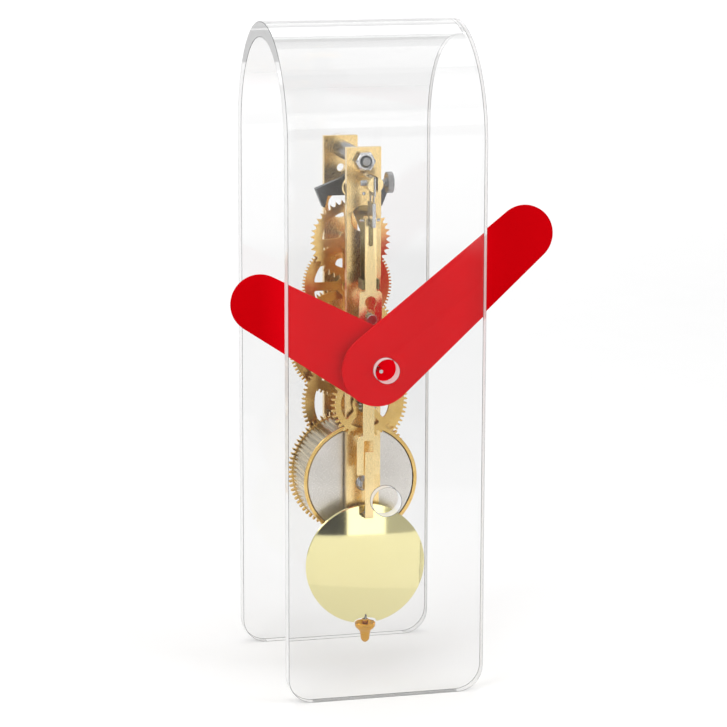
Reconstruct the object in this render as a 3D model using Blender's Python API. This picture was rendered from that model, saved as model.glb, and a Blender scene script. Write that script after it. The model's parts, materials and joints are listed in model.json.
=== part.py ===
"""Acrylic table clock with an open pendulum movement.

A sheet of clear acrylic, bent into an arch, carries a brass movement on its rear wall.
X is to the right, Y to the back, Z up, all in metres. The origin is the middle of the
front wall's foot, which stands on the table. Heights are stacked from the table upwards
through the pendulum, and depths forwards from the rear wall through the movement.
"""
import bpy
import bmesh
from math import acos, asin, atan2, cos, pi, radians, sin, sqrt
from mathutils import Matrix, Vector

# Fits shared by all pieces
SEAT_GAP = 0.0003            # between two faces that rest on each other
RUN_GAP = 0.0002             # all round a pivot or pin in its hole
OVERRUN = 0.002              # how far a cut runs past the piece it cuts
MERGE_DISTANCE = 0.000001

# Acrylic case
CASE_WIDTH = 0.078
CASE_SHEET = 0.006
CASE_FRONT_SPACE = 0.0095    # from the front wall to the minute hand
CASE_HEADROOM = 0.049        # from the top of the plates to the top of the arch
CASE_CORNER_RADIUS = 0.010
HAND_HOLE_DIAMETER = 0.0095
HAND_HOLE_RISE = 0.0019      # the hole stands a little above the hands' axis
KEY_HOLE_DIAMETER = 0.0115
KEY_HOLE_RISE = 0.0012

# Plates, pillars and what fastens them
PLATE_WIDTH = 0.0138
PLATE_THICKNESS = 0.003
PLATE_END_MARGIN = 0.005     # from the upper pillar's axis to the top of the plates
PLATE_FOOT_MARGIN = 0.007
PILLAR_RADIUS = 0.0033
PILLAR_BORE_DEPTH = 0.008
LOWER_PILLAR_DROP = 0.0312   # below the barrel's axis
STUD_THREAD_RADIUS = 0.00195
STUD_END = 0.0009            # thread showing past the nut
NUT_ACROSS_FLATS = 0.007
NUT_THICKNESS = 0.003
NUT_SIDE_GAP = 0.0004
STANDOFF_LENGTH = 0.0039
STANDOFF_RADIUS = 0.00525
CASE_SCREW_RADIUS = 0.00185
CASE_SCREW_HEAD_RADIUS = 0.0036
CASE_SCREW_HEAD_LENGTH = 0.0024
CASE_SCREW_SLOT_WIDTH = 0.0009
CASE_SCREW_SLOT_DEPTH = 0.0010
CASE_SCREW_GRIP = 0.006      # thread held in the pillar
PLATE_SCREW_RADIUS = 0.00145
PLATE_SCREW_HEAD_RADIUS = 0.0029
PLATE_SCREW_HEAD_LENGTH = 0.0013
PLATE_SCREW_GRIP = 0.0045
OIL_HOLE_RADIUS = 0.00165    # bare holes in the rear plate
OIL_HOLE_DROP = 0.0076       # below the upper pillar
SIGHT_HOLE_RADIUS = 0.00225
SIGHT_HOLE_RISE = 0.0071     # above the third arbor

# Distances between arbors, from the anchor down to the barrel
ANCHOR_DISTANCE = 0.02155
ESCAPE_DISTANCE = 0.01945
THIRD_DISTANCE = 0.0243
CENTRE_DISTANCE = 0.02366
SECOND_DISTANCE = 0.02742
SECOND_OFFSET = 0.0035       # the second arbor stands right of the plates' middle
MOTION_DISTANCE = 0.018      # hands' axis to minute wheel stud

# Teeth of each wheel and leaves of the pinion that it drives
GREAT_TEETH, SECOND_LEAVES = 80, 10
SECOND_TEETH, CENTRE_LEAVES = 72, 8
CENTRE_TEETH, THIRD_LEAVES = 88, 9
THIRD_TEETH, ESCAPE_LEAVES = 84, 7
ESCAPE_TEETH = 40
CANNON_LEAVES, MINUTE_TEETH = 14, 36
MINUTE_LEAVES, HOUR_TEETH = 12, 56
RATCHET_TEETH = 24

# Tooth form, as shares of the module or of the pitch
WHEEL_ADDENDUM_SHARE = 1.3
WHEEL_DEDENDUM_SHARE = 1.3
WHEEL_TOOTH_SHARE = 0.88
LEAF_ADDENDUM_SHARE = 0.6
LEAF_DEDENDUM_SHARE = 1.6
LEAF_WIDTH_SHARE = 0.46
LEAF_TIP_SHARE = 0.4

# Where the wheels lie, as the space behind each one before the rear plate
WHEEL_THICKNESS = 0.0012
CENTRE_WHEEL_BACK = 0.0027
SECOND_WHEEL_BACK = 0.0084
SECOND_WHEEL_THICKNESS = 0.0014
THIRD_WHEEL_BACK = 0.0093
ESCAPE_WHEEL_BACK = 0.0151
GREAT_WHEEL_BACK = 0.0120
GREAT_WHEEL_THICKNESS = 0.0016
PINION_OVERHANG = 0.0016     # how far a pinion runs past its wheel on either side

# Crossings of the wheels
WHEEL_RIM_WIDTH = 0.0037
WHEEL_HUB_RADIUS = 0.0042
WHEEL_ARM_WIDTH = 0.0034
COLLET_RADIUS = 0.0024
COLLET_LENGTH = 0.0012
COLLET_HUB_WALL = 0.0009

# Arbors
SECOND_ARBOR_RADIUS = 0.0015
CENTRE_ARBOR_RADIUS = 0.0010
THIRD_ARBOR_RADIUS = 0.0010
ESCAPE_ARBOR_RADIUS = 0.0007
PIVOT_RADIUS = 0.0005
SECOND_PIVOT_RADIUS = 0.0006
SECOND_PIVOT_REACH = 0.0047  # thin rear end that clears the centre wheel's teeth
PIVOT_END_SHAKE = 0.0003

# Escape wheel and anchor
ESCAPE_TIP_RADIUS = 0.0164
ESCAPE_TOOTH_DEPTH = 0.0016
ESCAPE_ARM_WIDTH = 0.0030
ESCAPE_HUB_RADIUS = 0.0046
ESCAPE_RIM_WIDTH = 0.0031
ESCAPE_ARM_ANGLE = 6         # of the right-hand arm above level
ENTRY_PALLET_CLEARANCE = 0.0009
EXIT_PALLET_CLEARANCE = 0.0015
ENTRY_PALLET_ANGLE = 38.3    # from straight up, seen from the escape arbor
EXIT_PALLET_ANGLE = 41.3
PALLET_TIP_WIDTH = 0.0008
PALLET_SPLAY = 0.0030        # how far the arm's corner stands outside the pallet's tip
PALLET_NECK = 0.0011         # how far the pallet's root stands inside its tip
ANCHOR_CORNER_DROP = 0.0006
ANCHOR_ARM_DROP = 0.0034
ANCHOR_CROWN_RADIUS = 0.0054
ANCHOR_CROWN_ANGLE = 48      # to either side of upright
ANCHOR_THICKNESS = 0.0032
ANCHOR_ARBOR_RADIUS = 0.0009
ANCHOR_COLLET_RADIUS = 0.0033
ANCHOR_COLLET_LENGTH = 0.0020

# Crutch
CRUTCH_COLLET_RADIUS = 0.0026
CRUTCH_COLLET_LENGTH = 0.0030
CRUTCH_COLLET_BACK = 0.0055  # behind the front plate
CRUTCH_THICKNESS = 0.0009
CRUTCH_TOP_WIDTH = 0.0080
CRUTCH_STEM_WIDTH = 0.0050
CRUTCH_STEM_OFF = 0.0050     # in front of the front plate
CRUTCH_BEND_DROP = 0.0036    # below the anchor's axis
CRUTCH_STEM_DROP = 0.0136
CRUTCH_LENGTH = 0.0361
CRUTCH_EAR_HEIGHT = 0.0040
CRUTCH_EAR_THICKNESS = 0.0008
CRUTCH_EAR_FRONT = 0.0005    # past the leader's front
CRUTCH_OPENING_RADIUS = 0.0053
CRUTCH_OPENING_DROP = 0.0098

# Barrel
DRUM_RADIUS = 0.0232
DRUM_LENGTH = 0.0194
DRUM_END_SHAKE = 0.0012
DRUM_WALL = 0.0014
DRUM_FLOOR = 0.0015
COVER_THICKNESS = 0.0012
COVER_INSET = 0.0003
WINDING_RADIUS = 0.0030
WINDING_CORE_RADIUS = 0.0058
WINDING_SQUARE = 0.0032
WINDING_SQUARE_LENGTH = 0.0045
WINDING_TAIL_RADIUS = 0.0018

# Ratchet and click
RATCHET_RADIUS = 0.0085
RATCHET_DEPTH = 0.0010
RATCHET_TIP_SHARE = 0.9      # of the pitch, from a tooth's root to its tip
RATCHET_THICKNESS = 0.0015
RATCHET_BACK = 0.0021
CLICK_THICKNESS = 0.0014
CLICK_CLEARANCE = 0.0003
CLICK_PIVOT_RISE = 0.0138    # above the barrel's axis
CLICK_PIVOT_OFFSET = -0.0030
CLICK_PAD_RADIUS = 0.0024
CLICK_LENGTH = 0.0062
CLICK_TIP_WIDTH = 0.0012
CLICK_TIP_SLANT = 0.0004
CLICK_SCREW_RADIUS = 0.0011
CLICK_SCREW_HEAD_RADIUS = 0.0019
CLICK_SCREW_HEAD_LENGTH = 0.0009
CLICK_SPRING_WIDTH = 0.0005
CLICK_SPRING_LENGTH = 0.0090
CLICK_SPRING_STUD_RADIUS = 0.0009

# Motion work and hands
MOTION_WHEEL_OFF = 0.0014    # minute wheel's back to the front plate
MOTION_WHEEL_THICKNESS = 0.0012
MOTION_ARM_WIDTH = 0.0022
MOTION_HUB_RADIUS = 0.0050
MOTION_RIM_WIDTH = 0.0023
HOUR_WHEEL_OFF = 0.0046
HOUR_WHEEL_THICKNESS = 0.0015
HOUR_WHEEL_RIM_WIDTH = 0.0026
CANNON_OVERHANG = 0.0004
CANNON_PIPE_WALL = 0.0005
HOUR_PIPE_WALL = 0.0006
MINUTE_PINION_FRONT = 0.0005  # past the hour wheel's front
MINUTE_STUD_RADIUS = 0.0011
MINUTE_STUD_END = 0.0004
HAND_HUB_RADIUS = 0.0145     # round end at the arbor
HAND_TIP_RADIUS = 0.0114     # round end at the tip
HAND_THICKNESS = 0.0015
HAND_SEAT_DEPTH = 0.0010
MINUTE_HAND_REACH = 0.0776   # axis to the centre of the round tip
HOUR_HAND_REACH = 0.0527
MINUTE_HAND_ANGLE = 49.4     # clockwise from upright
HOUR_HAND_ANGLE = -59.7
MINUTE_HAND_OFF = 0.0241     # front of the hand to the front plate
HOUR_HAND_OFF = 0.0201
ARBOR_END_RADIUS = 0.0008
ARBOR_END_LENGTH = 0.0056    # past the minute hand

# Suspension
POST_RADIUS = 0.0031
POST_LENGTH = 0.0182
POST_RISE = 0.0059           # above the flex line
POST_SPIGOT_RADIUS = 0.0019
POST_SLOT_WIDTH = 0.0015
POST_SLOT_DEPTH = 0.0105
TOP_BLOCK_THICKNESS = 0.0009
TOP_BLOCK_DEPTH = 0.0085
TOP_BLOCK_RISE = 0.0087      # top edge above the flex line
FLEX_ABOVE = 0.0012          # spring above the flex line
FLEX_BELOW = 0.0016
TOP_BLOCK_FRONT = 0.0001     # behind the post's front face
SPRING_LEAF_WIDTH = 0.0020
SPRING_LEAF_THICKNESS = 0.0003
SPRING_LEAF_PITCH = 0.0050
THUMBSCREW_BACK = 0.0031     # behind the post's front face
THUMBSCREW_RISE = 0.0004     # above the post's axis
THUMBSCREW_SHANK_RADIUS = 0.0011
THUMBSCREW_COLLAR_RADIUS = 0.0019
THUMBSCREW_COLLAR_LENGTH = 0.0007
THUMBSCREW_HEAD_RADIUS = 0.00415
THUMBSCREW_HEAD_LENGTH = 0.0023
THUMBSCREW_HEAD_OFF = 0.0019  # from the post's side
THUMBSCREW_END = 0.0019
THUMBSCREW_KNURLS = 24
KNURL_DEPTH = 0.00025
LOWER_BLOCK_THICKNESS = 0.0013
LOWER_BLOCK_DEPTH = 0.0080
LOWER_BLOCK_HEIGHT = 0.0095
LOWER_BLOCK_FRONT = 0.0021   # behind the post's front face
CROSS_PIN_RADIUS = 0.00065
CROSS_PIN_LENGTH = 0.0080
CROSS_PIN_DROP = 0.0091      # below the flex line

# Pendulum, from the table upwards
NUT_TIP_HEIGHT = 0.0126
RATING_NUT_HEIGHT = 0.0082
RATING_NUT_RADIUS = 0.0041
RATING_NUT_NECK_RADIUS = 0.0013
RATING_NUT_CUP_DEPTH = 0.0016
RATING_NUT_CUP_FLOOR_SHARE = 0.6   # of the nut's radius
RATING_NUT_CUP_RIM_SHARE = 0.86    # of the nut's radius
RATING_NUT_TIP_RADIUS = 0.0008
BOB_NOTCH_WIDTH = 0.0092
BOB_NOTCH_HEIGHT = 0.0024
BOB_NOTCH_ROOF_SHARE = 0.55  # of the notch's width
BOB_NOTCH_SIDE_SHARE = 0.33  # of the notch's height
BOB_BOTTOM_UNDER_RIM = 0.0008  # the nut's rim stands this far above the bob's bottom
BOB_RADIUS = 0.0243
BOB_THICKNESS = 0.0042
BOB_EDGE = 0.0016
BOB_PLATE_GAP = 0.0013       # behind the bob
BOB_SLOT_WIDTH = 0.0044
BOB_SLOT_HEIGHT = 0.0034
BOB_SLOT_MARGIN = 0.0009     # left above the slot
BOB_BORE_RADIUS = 0.0012
PENDULUM_LENGTH = 0.1488     # flex line to the middle of the bob
STRIP_THICKNESS = 0.0008
UPPER_LEADER_OFF = 0.0102    # back face to the front plate
UPPER_LEADER_WIDTH = 0.0046
UPPER_LEADER_SLOT = 0.0018
UPPER_LEADER_SLOT_LENGTH = 0.0092
EYE_SHOULDER_GAP = 0.0006    # under the crutch's ears
EYE_WIDTH = 0.0092
EYE_KEYHOLE_RADIUS = 0.0023
EYE_KEYHOLE_DROP = 0.0044    # below the shoulder
EYE_SLOT_WIDTH = 0.0030
EYE_SHOULDER_RADIUS = 0.0018
LEADER_STUD_DROP = 0.0066    # below the keyhole
LEADER_STUD_RADIUS = 0.0012
LEADER_STUD_HEAD_RADIUS = 0.0020
LEADER_STUD_HEAD_LENGTH = 0.0020
EYE_FOOT_MARGIN = 0.0045     # below the stud
LOWER_LEADER_GAP = 0.0018    # between the two leaders
LOWER_LEADER_WIDTH = 0.0045
LOWER_LEADER_TOP_MARGIN = 0.0032
LEADER_RING_RADIUS = 0.0105
LEADER_RING_BORE = 0.0080
FRAME_TOP_DROP = 0.0294      # below the hands' axis
FRAME_WIDTH = 0.0093
FRAME_HEIGHT = 0.0161
FRAME_SLOT_WIDTH = 0.0037
FRAME_SLOT_MARGIN = 0.0022
ROD_WIDTH = 0.0034
ROD_THICKNESS = 0.0012
ROD_TOP_DROP = 0.0064        # below the top of the frame
ROD_HOOK_WIDTH = 0.0029
ROD_HOOK_THICKNESS = 0.0012
ROD_HOOK_LIP = 0.0026
RATING_SCREW_RADIUS = 0.00075
RATING_SCREW_HEAD_RADIUS = 0.0013
RATING_SCREW_HEAD_LENGTH = 0.0006
RATING_SCREW_GRIP = 0.0052   # thread held in the nut
RATING_TRAVEL = 0.0004       # of the bob, up or down

# Facets
ROUND_SIDES = 14
SMALL_SIDES = 10
LARGE_SIDES = 36
ARCH_SIDES = 24
SMOOTH_ANGLE = 35

# Depths, from the rear wall forwards
PLATE_SPACE = (GREAT_WHEEL_BACK + GREAT_WHEEL_THICKNESS + SEAT_GAP + DRUM_LENGTH + DRUM_END_SHAKE)
MOVEMENT_DEPTH = MINUTE_HAND_OFF + PLATE_THICKNESS + PLATE_SPACE + PLATE_THICKNESS + STANDOFF_LENGTH
CASE_DEPTH = CASE_SHEET + CASE_FRONT_SPACE + MOVEMENT_DEPTH + CASE_SHEET
REAR_WALL_Y = CASE_DEPTH - CASE_SHEET - CASE_SHEET / 2
REAR_PLATE_Y = REAR_WALL_Y - STANDOFF_LENGTH - PLATE_THICKNESS
FRONT_PLATE_BACK_Y = REAR_PLATE_Y - PLATE_SPACE
FRONT_PLATE_Y = FRONT_PLATE_BACK_Y - PLATE_THICKNESS
POST_Y = FRONT_PLATE_Y - POST_LENGTH
UPPER_LEADER_Y = FRONT_PLATE_Y - UPPER_LEADER_OFF - STRIP_THICKNESS
LOWER_LEADER_Y = UPPER_LEADER_Y + STRIP_THICKNESS + LOWER_LEADER_GAP
ROD_Y = LOWER_LEADER_Y - SEAT_GAP - ROD_THICKNESS
BOB_Y = FRONT_PLATE_Y - BOB_PLATE_GAP - BOB_THICKNESS / 2
MINUTE_HAND_Y = FRONT_PLATE_Y - MINUTE_HAND_OFF
HOUR_HAND_Y = FRONT_PLATE_Y - HOUR_HAND_OFF

# Heights, from the table upwards
RATING_NUT_Z = NUT_TIP_HEIGHT + RATING_NUT_HEIGHT
BOB_Z = RATING_NUT_Z - BOB_BOTTOM_UNDER_RIM + BOB_RADIUS
FLEX_Z = BOB_Z + PENDULUM_LENGTH
ESCAPE_Z = FLEX_Z - ANCHOR_DISTANCE
THIRD_Z = ESCAPE_Z - ESCAPE_DISTANCE
HANDS_Z = THIRD_Z - THIRD_DISTANCE
SECOND_Z = HANDS_Z - sqrt(CENTRE_DISTANCE ** 2 - SECOND_OFFSET ** 2)
BARREL_Z = SECOND_Z - sqrt(SECOND_DISTANCE ** 2 - SECOND_OFFSET ** 2)
MINUTE_STUD_Z = HANDS_Z - MOTION_DISTANCE
POST_Z = FLEX_Z + POST_RISE
UPPER_PILLAR_Z = POST_Z + POST_RADIUS + NUT_SIDE_GAP + NUT_ACROSS_FLATS / 2
LOWER_PILLAR_Z = BARREL_Z - LOWER_PILLAR_DROP
PLATE_TOP_Z = UPPER_PILLAR_Z + PLATE_END_MARGIN
PLATE_FOOT_Z = LOWER_PILLAR_Z - PLATE_FOOT_MARGIN
CASE_HEIGHT = PLATE_TOP_Z + CASE_HEADROOM
EYE_SHOULDER_Z = FLEX_Z - CRUTCH_LENGTH - EYE_SHOULDER_GAP
KEYHOLE_Z = EYE_SHOULDER_Z - EYE_KEYHOLE_DROP
LEADER_STUD_Z = KEYHOLE_Z - LEADER_STUD_DROP
FRAME_TOP_Z = HANDS_Z - FRAME_TOP_DROP
FRAME_FOOT_Z = FRAME_TOP_Z - FRAME_HEIGHT
CROSS_PIN_Z = FLEX_Z - CROSS_PIN_DROP
BOB_SLOT_Z = BOB_Z + BOB_RADIUS - BOB_SLOT_MARGIN - BOB_SLOT_HEIGHT / 2


# Outlines, as points (x, z) seen from the front

def polar(radius, angle, centre=(0, 0)):
    return (centre[0] + radius * cos(angle), centre[1] + radius * sin(angle))


def arc(radius, start, end, steps, centre=(0, 0)):
    return [polar(radius, start + (end - start) * k / steps, centre) for k in range(steps + 1)]


def circle(radius, centre=(0, 0), sides=ROUND_SIDES):
    return [polar(radius, 2 * pi * k / sides, centre) for k in range(sides)]


def rectangle(width, bottom, top, centre_x=0):
    left, right = centre_x - width / 2, centre_x + width / 2
    return [(left, bottom), (right, bottom), (right, top), (left, top)]


def hexagon(across_flats):
    return [polar(across_flats / sqrt(3), pi * k / 3) for k in range(6)]


def mirrored(right_side):
    """Close an outline by repeating its right side, listed from the top down, on the left."""
    return right_side + [(-x, z) for x, z in reversed(right_side) if x > 0]


def tooth_ring(count, phase, tooth):
    """Repeat one tooth, a list of (radius, angle from its middle), round a circle."""
    step = 2 * pi / count
    return [polar(radius, phase + k * step + angle) for k in range(count) for radius, angle in tooth]


def wheel_outline(teeth, pitch_radius, phase):
    module = 2 * pitch_radius / teeth
    half = pi / teeth * WHEEL_TOOTH_SHARE
    root, tip = pitch_radius - WHEEL_DEDENDUM_SHARE * module, pitch_radius + WHEEL_ADDENDUM_SHARE * module
    return tooth_ring(teeth, phase, [(root, -half), (tip, 0), (root, half)])


def pinion_outline(leaves, pitch_radius, phase):
    module = 2 * pitch_radius / leaves
    half = pi / leaves * LEAF_WIDTH_SHARE
    root, tip = pitch_radius - LEAF_DEDENDUM_SHARE * module, pitch_radius + LEAF_ADDENDUM_SHARE * module
    leaf = [(root, -half), (tip, -half * LEAF_TIP_SHARE), (tip, half * LEAF_TIP_SHARE), (root, half)]
    return tooth_ring(leaves, phase, leaf)


def windows(rim_radius, hub_radius, arm_width, arms, arm_angle):
    """Openings between the arms of a crossed-out wheel."""
    outer, inner = asin(arm_width / 2 / rim_radius), asin(arm_width / 2 / hub_radius)
    openings = []
    for k in range(arms):
        start, end = arm_angle + 2 * pi * k / arms, arm_angle + 2 * pi * (k + 1) / arms
        openings.append(arc(rim_radius, start + outer, end - outer, 5)
                        + arc(hub_radius, end - inner, start + inner, 2))
    return openings


# Solids

def ring_of(bm, loop, y):
    verts = [bm.verts.new((x, y, z)) for x, z in loop]
    return [bm.edges.new(pair) for pair in zip(verts, verts[1:] + verts[:1])]


def wall_from(bm, edges, length):
    made = bmesh.ops.extrude_edge_only(bm, edges=edges)["geom"]
    verts = {item for item in made if isinstance(item, bmesh.types.BMVert)}
    bmesh.ops.translate(bm, verts=list(verts), vec=(0, length, 0))
    return [item for item in made if isinstance(item, bmesh.types.BMEdge) and verts.issuperset(item.verts)]


def stacked(layers):
    """Solid of flat layers from front to back, each a thickness and its outline with its holes.

    A loop that two neighbouring layers share runs through both as one wall.
    """
    bm = bmesh.new()
    y, walls, before = 0, {}, []
    for k, (thickness, loops) in enumerate(layers + [(0, [])]):
        rim = []
        for loop in [loop for loop in before if loop not in loops]:
            rim += walls.pop(before.index(loop))
        for loop in [loop for loop in loops if loop not in before]:
            length = 0
            for later_thickness, later_loops in layers[k:]:
                if loop not in later_loops:
                    break
                length += later_thickness
            edges = ring_of(bm, loop, y)
            rim += edges
            walls[("new", loops.index(loop))] = wall_from(bm, edges, length)
        for loop in [loop for loop in loops if loop in before]:
            walls[("new", loops.index(loop))] = walls.pop(before.index(loop))
        walls = {key[1]: value for key, value in walls.items()}
        bmesh.ops.triangle_fill(bm, edges=rim, use_beauty=True)
        before, y = loops, y + thickness
    bmesh.ops.recalc_face_normals(bm, faces=bm.faces[:])
    return bm


def flat(outline, thickness, holes=()):
    return stacked([(thickness, [outline] + list(holes))])


def sideways(outline, width, holes=()):
    """Solid whose outline is seen from the right, as points (y, z), centred on X = 0."""
    bm = flat(outline, width, holes)
    bmesh.ops.transform(bm, matrix=Matrix.Translation((width / 2, 0, 0)) @ Matrix.Rotation(pi / 2, 4, "Z"),
                        verts=bm.verts[:])
    return bm


def turned(profile, axis="Y", sides=ROUND_SIDES):
    """Solid turned from a profile of (radius, distance along the axis), open ends on the axis."""
    bm = bmesh.new()
    verts = [bm.verts.new((radius, 0, along)) for radius, along in profile]
    closed = profile[0][0] > 0
    ends = verts[1:] + verts[:1] if closed else verts[1:]
    edges = [bm.edges.new(pair) for pair in zip(verts, ends)]
    bmesh.ops.spin(bm, geom=verts + edges, cent=(0, 0, 0), axis=(0, 0, 1), angle=2 * pi, steps=sides,
                   use_merge=True)
    bmesh.ops.remove_doubles(bm, verts=bm.verts[:], dist=MERGE_DISTANCE)
    turn = {"X": Matrix.Rotation(pi / 2, 4, "Y"), "Y": Matrix.Rotation(-pi / 2, 4, "X"), "Z": Matrix()}[axis]
    bmesh.ops.transform(bm, matrix=turn, verts=bm.verts[:])
    bmesh.ops.recalc_face_normals(bm, faces=bm.faces[:])
    return bm


# Scene pieces

def material(name, colour, roughness, metallic, transmission=0):
    made = bpy.data.materials.new(name)
    made.use_nodes = True
    shader = made.node_tree.nodes["Principled BSDF"]
    shader.inputs["Base Color"].default_value = (*colour, 1)
    shader.inputs["Roughness"].default_value = roughness
    shader.inputs["Metallic"].default_value = metallic
    shader.inputs["Transmission Weight"].default_value = transmission
    made.diffuse_color = (*colour, 1)
    return made


def piece(name, bm, finish, at, carrier=None):
    """Make an object whose origin is at a world place, held by a carrier if it moves with one."""
    mesh = bpy.data.meshes.new(name)
    bm.to_mesh(mesh)
    bm.free()
    mesh.shade_smooth()
    mesh.set_sharp_from_angle(angle=radians(SMOOTH_ANGLE))
    mesh.materials.append(finish)
    made = bpy.data.objects.new(name, mesh)
    bpy.context.scene.collection.objects.link(made)
    made.location = at
    if carrier:
        made.parent = carrier
        made.matrix_parent_inverse = Matrix.Translation(-Vector(carrier["place"]))
    return made


def carrier_at(name, place):
    """Empty on a joint's axis, which the pieces that turn about it hang from."""
    empty = bpy.data.objects.new(name, None)
    bpy.context.scene.collection.objects.link(empty)
    empty.location = place
    empty["place"] = place
    return empty


def shape_with(body, tool, operation="DIFFERENCE"):
    """Cut a piece with a tool body, join the two or keep what they share."""
    modifier = body.modifiers.new(tool.name, "BOOLEAN")
    modifier.object = tool
    modifier.operation = operation
    tool.hide_render = True
    tool.display_type = "WIRE"


for old in list(bpy.data.objects):
    bpy.data.objects.remove(old)

ACRYLIC = material("clear_acrylic", (0.95, 0.97, 0.97), 0.02, 0, 1)
BRASS = material("brushed_brass", (0.80, 0.58, 0.24), 0.3, 1)
POLISHED_BRASS = material("polished_brass", (0.86, 0.76, 0.42), 0.12, 1)
STEEL = material("bright_steel", (0.62, 0.62, 0.62), 0.25, 1)
SATIN_STEEL = material("satin_steel", (0.50, 0.50, 0.49), 0.4, 1)
DARK_STEEL = material("dark_steel", (0.16, 0.17, 0.18), 0.35, 1)
RED = material("red_lacquer", (0.55, 0.01, 0.03), 0.35, 0)


def acrylic_case():
    """One sheet bent into an arch, with rounded feet, two holes in front and two behind."""
    bend_radius = CASE_DEPTH / 2
    bend_y, bend_z = bend_radius - CASE_SHEET / 2, CASE_HEIGHT - bend_radius
    outside = [(-CASE_SHEET / 2, 0)] + arc(bend_radius, pi, 0, ARCH_SIDES, (bend_y, bend_z))
    outside += [(CASE_DEPTH - CASE_SHEET / 2, 0)]
    inside = [(REAR_WALL_Y, 0)] + arc(bend_radius - CASE_SHEET, 0, pi, ARCH_SIDES, (bend_y, bend_z))
    inside += [(CASE_SHEET / 2, 0)]
    case = piece("acrylic_case", sideways(outside + inside, CASE_WIDTH), ACRYLIC, (0, 0, 0))
    half = CASE_WIDTH / 2
    corner = arc(CASE_CORNER_RADIUS, -pi / 2, 0, 6, (half - CASE_CORNER_RADIUS, CASE_CORNER_RADIUS))
    corner += [(half + OVERRUN, CASE_CORNER_RADIUS), (half + OVERRUN, -OVERRUN)]
    corner += [(half - CASE_CORNER_RADIUS, -OVERRUN)]
    for side, name in ((1, "right"), (-1, "left")):
        cutter = piece("case_corner_cutter_" + name, flat([(x * side, z) for x, z in corner],
                       CASE_DEPTH + OVERRUN * 2), ACRYLIC, (0, -CASE_SHEET / 2 - OVERRUN, 0))
        shape_with(case, cutter)
    screw_hole = CASE_SCREW_RADIUS + SEAT_GAP
    for name, radius, wall_y, z in (
            ("hand", HAND_HOLE_DIAMETER / 2, -CASE_SHEET / 2, HANDS_Z + HAND_HOLE_RISE),
            ("key", KEY_HOLE_DIAMETER / 2, -CASE_SHEET / 2, BARREL_Z + KEY_HOLE_RISE),
            ("upper_screw", screw_hole, REAR_WALL_Y, UPPER_PILLAR_Z),
            ("lower_screw", screw_hole, REAR_WALL_Y, LOWER_PILLAR_Z)):
        drill = flat(circle(radius, sides=ROUND_SIDES), CASE_SHEET + OVERRUN * 2)
        drill = piece("case_drill_" + name, drill, ACRYLIC, (0, wall_y - OVERRUN, z))
        shape_with(case, drill)


def plates():
    """Front and rear brass bars that the arbors turn in, both open behind the crutch."""
    pivot = PIVOT_RADIUS + RUN_GAP
    thread = circle(STUD_THREAD_RADIUS + SEAT_GAP, (0, UPPER_PILLAR_Z))
    outline = rectangle(PLATE_WIDTH, PLATE_FOOT_Z, PLATE_TOP_Z)
    small_pivots = [circle(pivot, (0, z), 12) for z in (FLEX_Z, ESCAPE_Z, THIRD_Z)]
    small_pivots += [circle(SECOND_PIVOT_RADIUS + RUN_GAP, (SECOND_OFFSET, SECOND_Z), SMALL_SIDES)]
    crutch_opening = circle(CRUTCH_OPENING_RADIUS, (0, FLEX_Z - CRUTCH_OPENING_DROP))
    winding = circle(WINDING_RADIUS + RUN_GAP, (0, BARREL_Z))
    centre = circle(CENTRE_ARBOR_RADIUS + RUN_GAP, (0, HANDS_Z), 12)
    spigots = [circle(POST_SPIGOT_RADIUS + SEAT_GAP, (0, POST_Z)),
               circle(MINUTE_STUD_RADIUS + SEAT_GAP, (0, MINUTE_STUD_Z), SMALL_SIDES)]
    common = [outline, thread, crutch_opening, winding, centre] + small_pivots + spigots
    head_seat = circle(PLATE_SCREW_HEAD_RADIUS + SEAT_GAP, (0, LOWER_PILLAR_Z))
    screw_hole = circle(PLATE_SCREW_RADIUS + SEAT_GAP, (0, LOWER_PILLAR_Z))
    seat_depth = PLATE_SCREW_HEAD_LENGTH + SEAT_GAP
    front = stacked([(seat_depth, common + [head_seat]),
                     (PLATE_THICKNESS - seat_depth, common + [screw_hole])])
    piece("front_plate", front, BRASS, (0, FRONT_PLATE_Y, 0))
    screw = CASE_SCREW_RADIUS + SEAT_GAP
    rear_holes = small_pivots + [crutch_opening, circle(pivot, (0, HANDS_Z), SMALL_SIDES),
                                 circle(screw, (0, UPPER_PILLAR_Z)), circle(screw, (0, LOWER_PILLAR_Z)),
                                 circle(WINDING_TAIL_RADIUS + RUN_GAP, (0, BARREL_Z)),
                                 circle(OIL_HOLE_RADIUS, (0, UPPER_PILLAR_Z - OIL_HOLE_DROP), SMALL_SIDES),
                                 circle(SIGHT_HOLE_RADIUS, (0, THIRD_Z + SIGHT_HOLE_RISE)),
                                 circle(CLICK_SCREW_RADIUS + SEAT_GAP,
                                        (CLICK_PIVOT_OFFSET, BARREL_Z + CLICK_PIVOT_RISE), SMALL_SIDES)]
    piece("rear_plate", flat(outline, PLATE_THICKNESS, rear_holes), BRASS, (0, REAR_PLATE_Y, 0))


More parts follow.
